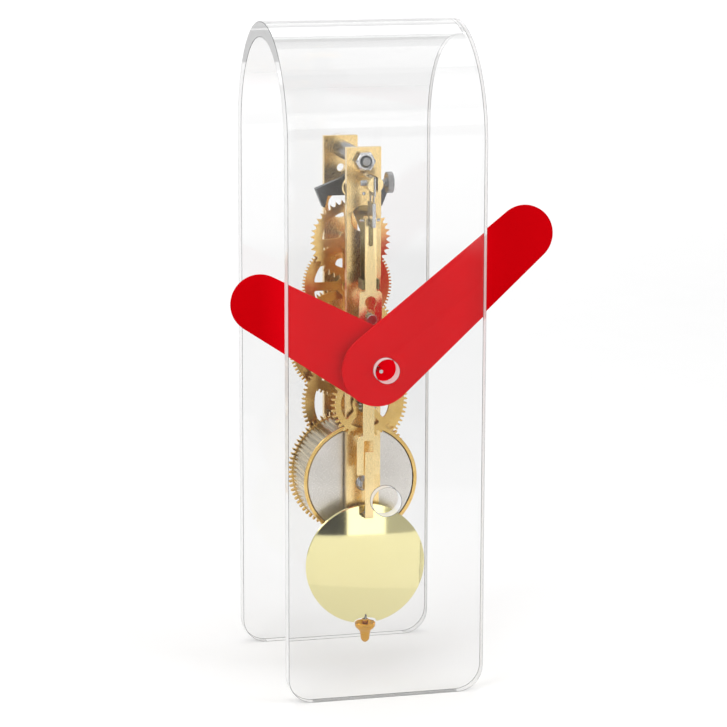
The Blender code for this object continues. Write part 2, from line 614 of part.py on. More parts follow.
def pillars():
    """Steel pillars that hold the plates apart, each tapped for a screw from behind."""
    body = circle(PILLAR_RADIUS, sides=ROUND_SIDES)
    bore = circle(CASE_SCREW_RADIUS + SEAT_GAP, sides=SMALL_SIDES)
    length = PLATE_SPACE - SEAT_GAP * 2
    stud = circle(STUD_THREAD_RADIUS)
    stud_length = SEAT_GAP * 2 + PLATE_THICKNESS + NUT_THICKNESS + STUD_END
    upper = stacked([(stud_length, [stud]), (length - PILLAR_BORE_DEPTH, [body]),
                     (PILLAR_BORE_DEPTH, [body, bore])])
    front_y = FRONT_PLATE_BACK_Y + SEAT_GAP
    piece("pillar_upper", upper, STEEL, (0, front_y - stud_length, UPPER_PILLAR_Z))
    tapped = circle(PLATE_SCREW_RADIUS + SEAT_GAP, sides=SMALL_SIDES)
    lower = stacked([(PILLAR_BORE_DEPTH, [body, tapped]), (length - PILLAR_BORE_DEPTH * 2, [body]),
                     (PILLAR_BORE_DEPTH, [body, bore])])
    piece("pillar_lower", lower, STEEL, (0, front_y, LOWER_PILLAR_Z))


def plate_fasteners():
    """The hexagon nut and the flush screw that hold the front plate to its pillars."""
    nut = flat(hexagon(NUT_ACROSS_FLATS), NUT_THICKNESS, [circle(STUD_THREAD_RADIUS + SEAT_GAP)])
    piece("nut_front_upper", nut, STEEL, (0, FRONT_PLATE_Y - SEAT_GAP - NUT_THICKNESS, UPPER_PILLAR_Z))
    shank = PLATE_THICKNESS - PLATE_SCREW_HEAD_LENGTH + PLATE_SCREW_GRIP
    screw = stacked([(PLATE_SCREW_HEAD_LENGTH, [circle(PLATE_SCREW_HEAD_RADIUS)]),
                     (shank, [circle(PLATE_SCREW_RADIUS, sides=SMALL_SIDES)])])
    piece("plate_screw_lower", screw, STEEL, (0, FRONT_PLATE_Y, LOWER_PILLAR_Z))


def case_mounting():
    """Standoffs between the rear plate and the rear wall, and the screws through them."""
    standoff = flat(circle(STANDOFF_RADIUS, sides=ROUND_SIDES), STANDOFF_LENGTH - SEAT_GAP * 2,
                    [circle(CASE_SCREW_RADIUS + SEAT_GAP)])
    grip = CASE_SHEET + STANDOFF_LENGTH + PLATE_THICKNESS + SEAT_GAP + CASE_SCREW_GRIP
    head = circle(CASE_SCREW_HEAD_RADIUS, sides=ROUND_SIDES)
    shank = circle(CASE_SCREW_RADIUS, sides=SMALL_SIDES)
    screw = stacked([(grip, [shank]), (CASE_SCREW_HEAD_LENGTH, [head])])
    groove_end = CASE_SCREW_HEAD_RADIUS + OVERRUN
    groove = rectangle(CASE_SCREW_SLOT_WIDTH, -groove_end, groove_end)
    blade = flat(groove, CASE_SCREW_SLOT_DEPTH + OVERRUN)
    standoff_y, head_y = REAR_PLATE_Y + PLATE_THICKNESS + SEAT_GAP, REAR_WALL_Y + CASE_SHEET + SEAT_GAP
    for name, z in (("upper", UPPER_PILLAR_Z), ("lower", LOWER_PILLAR_Z)):
        piece("rear_standoff_" + name, standoff.copy(), SATIN_STEEL, (0, standoff_y, z))
        made = piece("case_screw_" + name, screw.copy(), STEEL, (0, head_y - grip, z))
        slot_y = head_y + CASE_SCREW_HEAD_LENGTH - CASE_SCREW_SLOT_DEPTH
        shape_with(made, piece("screw_slot_" + name, blade.copy(), STEEL, (0, slot_y, z)))
    for pattern in (standoff, screw, blade):
        pattern.free()


def mesh_phase(phase, driver_teeth, driven_teeth, direction):
    """Phase of a driven toothing, whose gap meets the driver's tooth in the line of centres."""
    return direction + pi + pi / driven_teeth - (phase - direction) * driver_teeth / driven_teeth


def crossed_wheel(name, teeth, pitch_radius, phase, thickness, place, carrier, arbor_radius, arm_angle):
    """Brass wheel with four arms and a collet in front of it."""
    module = 2 * pitch_radius / teeth
    rim = pitch_radius - WHEEL_DEDENDUM_SHARE * module - WHEEL_RIM_WIDTH
    bore = circle(arbor_radius + SEAT_GAP, sides=SMALL_SIDES)
    collet = circle(max(COLLET_RADIUS, arbor_radius + SEAT_GAP + COLLET_HUB_WALL))
    openings = windows(rim, WHEEL_HUB_RADIUS, WHEEL_ARM_WIDTH, 4, arm_angle)
    bm = stacked([(COLLET_LENGTH, [collet, bore]),
                  (thickness, [wheel_outline(teeth, pitch_radius, phase), bore] + openings)])
    x, y, z = place
    piece(name, bm, BRASS, (x, y - COLLET_LENGTH, z), carrier)


def pinioned_arbor(name, place, carrier, radius, leaves, pinion_radius, phase, pinion_front, pinion_back,
                   pivot_radius, rear_shoulder=SEAT_GAP):
    """Steel arbor between the plates with its pinion cut from the same bar."""
    pivot_length = PLATE_THICKNESS - PIVOT_END_SHAKE
    front, back = FRONT_PLATE_BACK_Y + SEAT_GAP, REAR_PLATE_Y - rear_shoulder
    pivot, bar = circle(pivot_radius, sides=8), circle(radius, sides=SMALL_SIDES)
    layers = [(pivot_length + SEAT_GAP, [pivot]), (pinion_front - front, [bar]),
              (pinion_back - pinion_front, [pinion_outline(leaves, pinion_radius, phase)]),
              (back - pinion_back, [bar]), (pivot_length + rear_shoulder, [pivot])]
    x, z = place
    piece(name, stacked(layers), STEEL, (x, front - pivot_length - SEAT_GAP, z), carrier)


def going_train():
    """Great wheel, second, centre, third and escape wheels, in mesh, each with its arbor."""
    plate = REAR_PLATE_Y
    great_y = plate - GREAT_WHEEL_BACK - GREAT_WHEEL_THICKNESS
    second_y = plate - SECOND_WHEEL_BACK - SECOND_WHEEL_THICKNESS
    centre_y = plate - CENTRE_WHEEL_BACK - WHEEL_THICKNESS
    third_y = plate - THIRD_WHEEL_BACK - WHEEL_THICKNESS

    # Pitch radii share each distance between arbors in proportion to the teeth
    great_share = SECOND_DISTANCE / (GREAT_TEETH + SECOND_LEAVES)
    second_share = CENTRE_DISTANCE / (SECOND_TEETH + CENTRE_LEAVES)
    centre_share = THIRD_DISTANCE / (CENTRE_TEETH + THIRD_LEAVES)
    third_share = ESCAPE_DISTANCE / (THIRD_TEETH + ESCAPE_LEAVES)

    to_second = atan2(SECOND_Z - BARREL_Z, SECOND_OFFSET)
    to_centre = atan2(HANDS_Z - SECOND_Z, -SECOND_OFFSET)
    second_leaf_phase = mesh_phase(0, GREAT_TEETH, SECOND_LEAVES, to_second)
    centre_leaf_phase = mesh_phase(0, SECOND_TEETH, CENTRE_LEAVES, to_centre)
    third_leaf_phase = mesh_phase(0, CENTRE_TEETH, THIRD_LEAVES, pi / 2)
    escape_leaf_phase = mesh_phase(0, THIRD_TEETH, ESCAPE_LEAVES, pi / 2)

    barrel = carrier_at("barrel_axis", (0, great_y, BARREL_Z))
    great = flat(wheel_outline(GREAT_TEETH, great_share * GREAT_TEETH, 0), GREAT_WHEEL_THICKNESS,
                 [circle(WINDING_RADIUS + RUN_GAP)])
    piece("great_wheel", great, BRASS, (0, great_y, BARREL_Z), barrel)

    second = carrier_at("second_axis", (SECOND_OFFSET, second_y, SECOND_Z))
    crossed_wheel("second_wheel", SECOND_TEETH, second_share * SECOND_TEETH, 0, SECOND_WHEEL_THICKNESS,
                  (SECOND_OFFSET, second_y, SECOND_Z), second, SECOND_ARBOR_RADIUS, pi / 4)
    pinioned_arbor("second_arbor", (SECOND_OFFSET, SECOND_Z), second, SECOND_ARBOR_RADIUS, SECOND_LEAVES,
                   great_share * SECOND_LEAVES, second_leaf_phase, great_y - PINION_OVERHANG,
                   great_y + GREAT_WHEEL_THICKNESS + SEAT_GAP, SECOND_PIVOT_RADIUS, SECOND_PIVOT_REACH)

    centre = carrier_at("centre_axis", (0, centre_y, HANDS_Z))
    crossed_wheel("centre_wheel", CENTRE_TEETH, centre_share * CENTRE_TEETH, 0, WHEEL_THICKNESS,
                  (0, centre_y, HANDS_Z), centre, CENTRE_ARBOR_RADIUS, pi / 4)
    centre_arbor(centre, centre_leaf_phase, second_share * CENTRE_LEAVES, second_y)

    third = carrier_at("third_axis", (0, third_y, THIRD_Z))
    crossed_wheel("third_wheel", THIRD_TEETH, third_share * THIRD_TEETH, 0, WHEEL_THICKNESS,
                  (0, third_y, THIRD_Z), third, THIRD_ARBOR_RADIUS, 0)
    pinioned_arbor("third_arbor", (0, THIRD_Z), third, THIRD_ARBOR_RADIUS, THIRD_LEAVES,
                   centre_share * THIRD_LEAVES, third_leaf_phase, centre_y - PINION_OVERHANG,
                   centre_y + WHEEL_THICKNESS + PINION_OVERHANG, PIVOT_RADIUS)

    escape = carrier_at("escape_axis", (0, third_y, ESCAPE_Z))
    escape_wheel(escape)
    pinioned_arbor("escape_arbor", (0, ESCAPE_Z), escape, ESCAPE_ARBOR_RADIUS, ESCAPE_LEAVES,
                   third_share * ESCAPE_LEAVES, escape_leaf_phase, third_y - PINION_OVERHANG,
                   third_y + WHEEL_THICKNESS + PINION_OVERHANG, PIVOT_RADIUS)
    barrel_drum(barrel, great_y)
    winding_work()


def centre_arbor(carrier, phase, pinion_radius, second_y):
    """Arbor that runs forward through the front plate and past the hands."""
    bar, pivot = circle(CENTRE_ARBOR_RADIUS, sides=SMALL_SIDES), circle(PIVOT_RADIUS, sides=8)
    pinion = pinion_outline(CENTRE_LEAVES, pinion_radius, phase)
    pinion_front = second_y - PINION_OVERHANG
    pinion_back = second_y + SECOND_WHEEL_THICKNESS + PINION_OVERHANG
    end = circle(ARBOR_END_RADIUS, sides=SMALL_SIDES)
    front = MINUTE_HAND_Y - ARBOR_END_LENGTH
    neck = MINUTE_HAND_Y + HAND_THICKNESS
    back = REAR_PLATE_Y - SEAT_GAP
    layers = [(neck - front, [end]), (pinion_front - neck, [bar]), (pinion_back - pinion_front, [pinion]),
              (back - pinion_back, [bar]), (SEAT_GAP + PLATE_THICKNESS - PIVOT_END_SHAKE, [pivot])]
    piece("centre_arbor", stacked(layers), STEEL, (0, front, HANDS_Z), carrier)


def escape_wheel(carrier):
    """Forty pointed teeth on a broad rim and four arms."""
    step = 2 * pi / ESCAPE_TEETH
    root = ESCAPE_TIP_RADIUS - ESCAPE_TOOTH_DEPTH
    tooth_shares = ((0, 0), (1, 0.38), (0, 0.74))
    tooth = [(root + rise * ESCAPE_TOOTH_DEPTH, along * step) for rise, along in tooth_shares]
    bore = circle(ESCAPE_ARBOR_RADIUS + SEAT_GAP, sides=SMALL_SIDES)
    openings = windows(root - ESCAPE_RIM_WIDTH, ESCAPE_HUB_RADIUS, ESCAPE_ARM_WIDTH, 4,
                       radians(ESCAPE_ARM_ANGLE))
    bm = stacked([(COLLET_LENGTH, [circle(COLLET_RADIUS), bore]),
                  (WHEEL_THICKNESS, [tooth_ring(ESCAPE_TEETH, 0, tooth), bore] + openings)])
    y = REAR_PLATE_Y - ESCAPE_WHEEL_BACK - WHEEL_THICKNESS - COLLET_LENGTH
    piece("escape_wheel", bm, BRASS, (0, y, ESCAPE_Z), carrier)


def barrel_drum(carrier, great_y):
    """Spring drum in front of the great wheel, its cover let into the front rim."""
    bore, outside = circle(WINDING_RADIUS + RUN_GAP), circle(DRUM_RADIUS, sides=LARGE_SIDES)
    inside = circle(DRUM_RADIUS - DRUM_WALL, sides=LARGE_SIDES)
    drum_y = great_y - SEAT_GAP - DRUM_LENGTH
    drum = stacked([(DRUM_LENGTH - DRUM_FLOOR, [outside, inside]), (DRUM_FLOOR, [outside, bore])])
    piece("barrel_drum", drum, BRASS, (0, drum_y, BARREL_Z), carrier)
    cover = flat(circle(DRUM_RADIUS - DRUM_WALL - SEAT_GAP, sides=LARGE_SIDES), COVER_THICKNESS, [bore])
    piece("barrel_cover", cover, SATIN_STEEL, (0, drum_y + COVER_INSET, BARREL_Z), carrier)


def winding_work():
    """Winding arbor with its key square, the ratchet wheel on it and the click that holds it."""
    drum_y = FRONT_PLATE_BACK_Y + DRUM_END_SHAKE
    core_front = drum_y + COVER_INSET + COVER_THICKNESS + SEAT_GAP
    core_back = drum_y + DRUM_LENGTH - DRUM_FLOOR - SEAT_GAP
    tail_y = REAR_PLATE_Y - RATCHET_BACK
    square = [polar(WINDING_SQUARE / sqrt(2), pi / 4 + pi * k / 2) for k in range(4)]
    shaft, core = circle(WINDING_RADIUS), circle(WINDING_CORE_RADIUS, sides=ROUND_SIDES)
    front = FRONT_PLATE_Y - WINDING_SQUARE_LENGTH
    tail_end = REAR_PLATE_Y + PLATE_THICKNESS - PIVOT_END_SHAKE
    axis = carrier_at("winding_axis", (0, front, BARREL_Z))
    layers = [(WINDING_SQUARE_LENGTH, [square]), (core_front - FRONT_PLATE_Y, [shaft]),
              (core_back - core_front, [core]), (tail_y - core_back, [shaft]),
              (tail_end - tail_y, [circle(WINDING_TAIL_RADIUS, sides=SMALL_SIDES)])]
    piece("winding_arbor", stacked(layers), STEEL, (0, front, BARREL_Z), axis)

    step = 2 * pi / RATCHET_TEETH
    root = RATCHET_RADIUS - RATCHET_DEPTH
    saw = tooth_ring(RATCHET_TEETH, 0, [(root, 0), (RATCHET_RADIUS, step * RATCHET_TIP_SHARE)])
    ratchet_y = tail_y - RATCHET_THICKNESS
    piece("ratchet_wheel", flat(saw, RATCHET_THICKNESS, [circle(WINDING_RADIUS + SEAT_GAP)]), STEEL,
          (0, ratchet_y, BARREL_Z), axis)
    click_work(ratchet_y)


def click_work(ratchet_y):
    """Click on a shoulder screw in the rear plate, with its flat spring."""
    pivot = (CLICK_PIVOT_OFFSET, BARREL_Z + CLICK_PIVOT_RISE)
    tip_radius = RATCHET_RADIUS + CLICK_CLEARANCE
    reach = (CLICK_LENGTH ** 2 - CLICK_PIVOT_OFFSET ** 2 - CLICK_PIVOT_RISE ** 2 - tip_radius ** 2) / 2
    spread = sqrt(CLICK_PIVOT_OFFSET ** 2 + CLICK_PIVOT_RISE ** 2)
    lean = atan2(CLICK_PIVOT_RISE, CLICK_PIVOT_OFFSET) - acos(-reach / (spread * tip_radius))
    tip = polar(tip_radius, lean, (0, BARREL_Z))
    aim = atan2(tip[1] - pivot[1], tip[0] - pivot[0])
    outline = arc(CLICK_PAD_RADIUS, aim + pi / 3, aim + 2 * pi - pi / 3, 10)
    outline += [polar(CLICK_LENGTH, aim),
                polar(CLICK_LENGTH - CLICK_TIP_SLANT, aim + CLICK_TIP_WIDTH / CLICK_LENGTH)]
    y = REAR_PLATE_Y - SEAT_GAP - CLICK_THICKNESS
    axis = carrier_at("click_axis", (pivot[0], y, pivot[1]))
    click = flat(outline, CLICK_THICKNESS, [circle(CLICK_SCREW_RADIUS + RUN_GAP, sides=SMALL_SIDES)])
    piece("click", click, STEEL, (pivot[0], y, pivot[1]), axis)

    head = CLICK_SCREW_HEAD_LENGTH
    screw = stacked([(head, [circle(CLICK_SCREW_HEAD_RADIUS)]),
                     (SEAT_GAP * 2 + CLICK_THICKNESS + PLATE_THICKNESS - PIVOT_END_SHAKE,
                      [circle(CLICK_SCREW_RADIUS, sides=SMALL_SIDES)])])
    piece("click_screw", screw, STEEL, (pivot[0], y - SEAT_GAP - head, pivot[1]))

    # The spring stands on the plate above the click and bears on the pad's left side
    left = -CLICK_PAD_RADIUS - SEAT_GAP - CLICK_SPRING_WIDTH
    top = CLICK_SPRING_LENGTH - CLICK_PAD_RADIUS
    blade = [(left, -CLICK_PAD_RADIUS / 2), (left + CLICK_SPRING_WIDTH, -CLICK_PAD_RADIUS / 2),
             (left + CLICK_SPRING_WIDTH, top)]
    stud = CLICK_SPRING_STUD_RADIUS
    blade += arc(stud, 0, pi, 6, (left + stud, top + stud))
    blade += [(left, top)]
    piece("click_spring", flat(blade, CLICK_THICKNESS), STEEL, (pivot[0], y, pivot[1]))


def escapement():
    """Anchor over the escape wheel, its collet and arbor, and the crutch that the pendulum swings."""
    axis = carrier_at("anchor_axis", (0, FRONT_PLATE_BACK_Y, FLEX_Z))
    drop = ANCHOR_DISTANCE
    sides = {}
    for side, angle, clearance in ((-1, ENTRY_PALLET_ANGLE, ENTRY_PALLET_CLEARANCE),
                                   (1, EXIT_PALLET_ANGLE, EXIT_PALLET_CLEARANCE)):
        x, z = polar(ESCAPE_TIP_RADIUS + clearance, pi / 2 - radians(angle))
        z -= drop
        sides[side] = [(side * (x - PALLET_NECK), -ANCHOR_ARM_DROP), (side * x, z),
                       (side * (x + PALLET_TIP_WIDTH), z),
                       (side * (x + PALLET_TIP_WIDTH + PALLET_SPLAY), -ANCHOR_CORNER_DROP)]
    crown_half = radians(ANCHOR_CROWN_ANGLE)
    crown = arc(ANCHOR_CROWN_RADIUS, pi / 2 - crown_half, pi / 2 + crown_half, 6)
    outline = sides[1] + crown + sides[-1][::-1]
    bore = circle(ANCHOR_ARBOR_RADIUS + SEAT_GAP, sides=SMALL_SIDES)
    wheel_middle = REAR_PLATE_Y - ESCAPE_WHEEL_BACK - WHEEL_THICKNESS / 2
    anchor_y = wheel_middle - ANCHOR_THICKNESS / 2
    piece("anchor", flat(outline, ANCHOR_THICKNESS, [bore]), DARK_STEEL, (0, anchor_y, FLEX_Z), axis)
    collet = flat(circle(ANCHOR_COLLET_RADIUS, sides=ROUND_SIDES), ANCHOR_COLLET_LENGTH, [bore])
    piece("anchor_collet", collet, BRASS, (0, anchor_y - SEAT_GAP - ANCHOR_COLLET_LENGTH, FLEX_Z), axis)

    pivot, bar = circle(PIVOT_RADIUS, sides=8), circle(ANCHOR_ARBOR_RADIUS, sides=SMALL_SIDES)
    pivot_length = PLATE_THICKNESS - PIVOT_END_SHAKE + SEAT_GAP
    arbor = stacked([(pivot_length, [pivot]), (PLATE_SPACE - SEAT_GAP * 2, [bar]), (pivot_length, [pivot])])
    piece("anchor_arbor", arbor, STEEL, (0, FRONT_PLATE_BACK_Y + SEAT_GAP - pivot_length, FLEX_Z), axis)
    crutch(axis)


def crutch(axis):
    """Brass strip from the anchor's arbor, out through the plate's opening and down to two ears."""
    back_y = FRONT_PLATE_BACK_Y + CRUTCH_COLLET_BACK
    stem_y = FRONT_PLATE_Y - CRUTCH_STEM_OFF
    thickness = CRUTCH_THICKNESS
    # Side view of the bent strip: its front edge going down, then its back edge going up
    slope = [(back_y, -CRUTCH_BEND_DROP), (stem_y, -CRUTCH_STEM_DROP)]
    bar_foot = -CRUTCH_LENGTH + CRUTCH_EAR_THICKNESS
    side = [(back_y, CRUTCH_COLLET_RADIUS)] + slope + [(stem_y, bar_foot)]
    side += [(y + thickness, z - thickness / 2) for y, z in reversed(slope)]
    side.insert(4, (stem_y + thickness, bar_foot))
    side += [(back_y + thickness, CRUTCH_COLLET_RADIUS)]
    strip = piece("crutch", sideways(side, CRUTCH_TOP_WIDTH + OVERRUN), BRASS, (0, 0, FLEX_Z), axis)

    ear_inner = UPPER_LEADER_WIDTH / 2 + SEAT_GAP
    ear_outer = ear_inner + CRUTCH_EAR_THICKNESS
    ear_top = -CRUTCH_LENGTH + CRUTCH_EAR_HEIGHT
    stem = CRUTCH_STEM_WIDTH / 2
    top = CRUTCH_COLLET_RADIUS
    right = arc(top, pi / 2, pi / 6, 4)
    bar_x, bar_top = (ear_inner + ear_outer) / 2, ear_top - CRUTCH_EAR_THICKNESS
    right += [(CRUTCH_TOP_WIDTH / 2, -CRUTCH_BEND_DROP), (stem, -CRUTCH_STEM_DROP), (stem, bar_top),
              (bar_x, bar_top), (bar_x, -CRUTCH_LENGTH - OVERRUN)]
    depth = back_y + thickness - stem_y
    face = piece("crutch_outline", flat(mirrored(right), depth + OVERRUN * 2), BRASS,
                 (0, stem_y - OVERRUN, FLEX_Z), axis)
    shape_with(strip, face, "INTERSECT")

    ear_front = UPPER_LEADER_Y - CRUTCH_EAR_FRONT
    for side_sign, name in ((1, "right"), (-1, "left")):
        middle = side_sign * (ear_inner + ear_outer) / 2
        ear = flat(rectangle(CRUTCH_EAR_THICKNESS, -CRUTCH_LENGTH, ear_top, middle),
                   stem_y + thickness / 2 - ear_front)
        shape_with(strip, piece("crutch_ear_" + name, ear, BRASS, (0, ear_front, FLEX_Z), axis), "UNION")
    collet = flat(circle(CRUTCH_COLLET_RADIUS, sides=ROUND_SIDES), CRUTCH_COLLET_LENGTH)
    collet_y = back_y + thickness / 2
    shape_with(strip, piece("crutch_collet", collet, BRASS, (0, collet_y, FLEX_Z), axis), "UNION")
    bore = circle(ANCHOR_ARBOR_RADIUS + SEAT_GAP, sides=SMALL_SIDES)
    bore = flat(bore, CRUTCH_COLLET_LENGTH + OVERRUN * 2)
    shape_with(strip, piece("crutch_bore", bore, BRASS, (0, back_y - OVERRUN, FLEX_Z), axis))


def motion_work():
    """Cannon pinion, minute wheel and pinion, and hour wheel, which carry the two hands."""
    minute_share = MOTION_DISTANCE / (CANNON_LEAVES + MINUTE_TEETH)
    hour_share = MOTION_DISTANCE / (MINUTE_LEAVES + HOUR_TEETH)
    minute_y = FRONT_PLATE_Y - MOTION_WHEEL_OFF - MOTION_WHEEL_THICKNESS
    hour_y = FRONT_PLATE_Y - HOUR_WHEEL_OFF - HOUR_WHEEL_THICKNESS
    up, down = pi / 2, -pi / 2
    minute_phase = up
    cannon_phase = mesh_phase(minute_phase, MINUTE_TEETH, CANNON_LEAVES, up)
    hour_phase = down
    leaf_phase = mesh_phase(hour_phase, HOUR_TEETH, MINUTE_LEAVES, down)

    bore = circle(CENTRE_ARBOR_RADIUS + SEAT_GAP, sides=SMALL_SIDES)
    pipe_radius = CENTRE_ARBOR_RADIUS + SEAT_GAP + CANNON_PIPE_WALL
    pipe = circle(pipe_radius)
    pipe_front = MINUTE_HAND_Y + HAND_THICKNESS - HAND_SEAT_DEPTH + SEAT_GAP
    pinion_front = minute_y - CANNON_OVERHANG
    pinion_back = minute_y + MOTION_WHEEL_THICKNESS + CANNON_OVERHANG
    cannon_axis = carrier_at("minute_hand_axis", (0, MINUTE_HAND_Y, HANDS_Z))
    cannon = stacked([(pinion_front - pipe_front, [pipe, bore]),
                      (pinion_back - pinion_front,
                       [pinion_outline(CANNON_LEAVES, minute_share * CANNON_LEAVES, cannon_phase), bore])])
    piece("cannon_pinion", cannon, BRASS, (0, pipe_front, HANDS_Z), cannon_axis)

    hour_bore = circle(pipe_radius + SEAT_GAP)
    hour_pipe_radius = pipe_radius + SEAT_GAP + HOUR_PIPE_WALL
    hour_pipe = circle(hour_pipe_radius, sides=ROUND_SIDES)
    hour_front = HOUR_HAND_Y + HAND_THICKNESS - HAND_SEAT_DEPTH + SEAT_GAP
    hour_axis = carrier_at("hour_hand_axis", (0, HOUR_HAND_Y, HANDS_Z))
    hour = stacked([(hour_y - hour_front, [hour_pipe, hour_bore]),
                    (HOUR_WHEEL_THICKNESS,
                     [wheel_outline(HOUR_TEETH, hour_share * HOUR_TEETH, hour_phase), hour_bore])])
    piece("hour_wheel", hour, BRASS, (0, hour_front, HANDS_Z), hour_axis)

    stud_bore = circle(MINUTE_STUD_RADIUS + RUN_GAP, sides=SMALL_SIDES)
    minute_radius = minute_share * MINUTE_TEETH
    rim = minute_radius - WHEEL_DEDENDUM_SHARE * 2 * minute_share - MOTION_RIM_WIDTH
    minute_axis = carrier_at("minute_wheel_axis", (0, minute_y, MINUTE_STUD_Z))
    minute = flat(wheel_outline(MINUTE_TEETH, minute_radius, minute_phase), MOTION_WHEEL_THICKNESS,
                  [stud_bore] + windows(rim, MOTION_HUB_RADIUS, MOTION_ARM_WIDTH, 4, pi / 4))
    piece("minute_wheel", minute, BRASS, (0, minute_y, MINUTE_STUD_Z), minute_axis)
    leaf_front = hour_y - MINUTE_PINION_FRONT
    leaves = flat(pinion_outline(MINUTE_LEAVES, hour_share * MINUTE_LEAVES, leaf_phase),
                  minute_y - SEAT_GAP - leaf_front, [stud_bore])
    piece("minute_pinion", leaves, STEEL, (0, leaf_front, MINUTE_STUD_Z), minute_axis)
    stud_front = leaf_front - MINUTE_STUD_END
    stud = flat(circle(MINUTE_STUD_RADIUS, sides=SMALL_SIDES), FRONT_PLATE_BACK_Y - stud_front)
    piece("minute_stud", stud, STEEL, (0, stud_front, MINUTE_STUD_Z))

    hand("minute_hand", MINUTE_HAND_REACH, MINUTE_HAND_ANGLE, ARBOR_END_RADIUS, pipe_radius,
         MINUTE_HAND_Y, cannon_axis)
    hand("hour_hand", HOUR_HAND_REACH, HOUR_HAND_ANGLE, pipe_radius, hour_pipe_radius,
         HOUR_HAND_Y, hour_axis)


def hand(name, reach, angle, through_radius, seat_radius, y, carrier):
    """Flat hand that tapers between two round ends, its pipe let into the back."""
    aim = pi / 2 - radians(angle)
    touch = acos((HAND_HUB_RADIUS - HAND_TIP_RADIUS) / reach)
    outline = arc(HAND_TIP_RADIUS, aim - touch, aim + touch, 20, polar(reach, aim))
    outline += arc(HAND_HUB_RADIUS, aim + touch, aim + 2 * pi - touch, 20)
    hole, seat = circle(through_radius + SEAT_GAP, sides=SMALL_SIDES), circle(seat_radius + SEAT_GAP)
    bm = stacked([(HAND_THICKNESS - HAND_SEAT_DEPTH, [outline, hole]), (HAND_SEAT_DEPTH, [outline, seat])])
    piece(name, bm, RED, (0, y, HANDS_Z), carrier)


def suspension():
    """Slotted post, spring between two blocks, and the thumbscrew that clamps the upper block."""
    post = stacked([(POST_LENGTH - SEAT_GAP, [circle(POST_RADIUS, sides=ROUND_SIDES)]),
                    (PLATE_THICKNESS + SEAT_GAP, [circle(POST_SPIGOT_RADIUS)])])
    post = piece("suspension_post", post, BRASS, (0, POST_Y, POST_Z))
    slot = flat(rectangle(POST_SLOT_WIDTH, -POST_RADIUS - OVERRUN, POST_RADIUS + OVERRUN),
                POST_SLOT_DEPTH + OVERRUN)
    shape_with(post, piece("post_slot_cutter", slot, BRASS, (0, POST_Y - OVERRUN, POST_Z)))
    screw_y, screw_z = POST_Y + THUMBSCREW_BACK, POST_Z + THUMBSCREW_RISE
    bore_radius = THUMBSCREW_SHANK_RADIUS + SEAT_GAP
    reach = POST_RADIUS + OVERRUN
    drill = turned([(0, -reach), (bore_radius, -reach), (bore_radius, reach), (0, reach)], "X", SMALL_SIDES)
    shape_with(post, piece("post_drill", drill, BRASS, (0, screw_y, screw_z)))

    block_y = POST_Y + TOP_BLOCK_FRONT
    block = [(0, FLEX_ABOVE), (TOP_BLOCK_DEPTH, FLEX_ABOVE), (TOP_BLOCK_DEPTH, TOP_BLOCK_RISE),
             (0, TOP_BLOCK_RISE)]
    hole = circle(bore_radius, (screw_y - block_y, screw_z - FLEX_Z), 12)
    piece("suspension_block_top", sideways(block, TOP_BLOCK_THICKNESS, [hole]), STEEL, (0, block_y, FLEX_Z))

    leaf = rectangle(SPRING_LEAF_WIDTH, -FLEX_BELOW + SEAT_GAP, FLEX_ABOVE - SEAT_GAP)
    leaf_y = POST_Y + LOWER_BLOCK_FRONT + SPRING_LEAF_WIDTH / 2
    for name, y in (("front", leaf_y), ("rear", leaf_y + SPRING_LEAF_PITCH)):
        piece("suspension_spring_" + name, sideways(leaf, SPRING_LEAF_THICKNESS), STEEL, (0, y, FLEX_Z))

    knurl_step = 2 * pi / THUMBSCREW_KNURLS
    knurled = tooth_ring(THUMBSCREW_KNURLS, 0, [(THUMBSCREW_HEAD_RADIUS, 0),
                                                (THUMBSCREW_HEAD_RADIUS - KNURL_DEPTH, knurl_step / 2)])
    head_x = POST_RADIUS + THUMBSCREW_HEAD_OFF
    shank = head_x - THUMBSCREW_COLLAR_LENGTH + POST_RADIUS + THUMBSCREW_END
    screw = stacked([(THUMBSCREW_HEAD_LENGTH, [knurled]),
                     (THUMBSCREW_COLLAR_LENGTH, [circle(THUMBSCREW_COLLAR_RADIUS)]),
                     (shank, [circle(THUMBSCREW_SHANK_RADIUS, sides=SMALL_SIDES)])])
    bmesh.ops.transform(screw, matrix=Matrix.Rotation(pi / 2, 4, "Z"), verts=screw.verts[:])
    screw_axis = carrier_at("thumbscrew_axis", (0, screw_y, screw_z))
    piece("thumbscrew", screw, STEEL, (head_x + THUMBSCREW_HEAD_LENGTH, screw_y, screw_z), screw_axis)


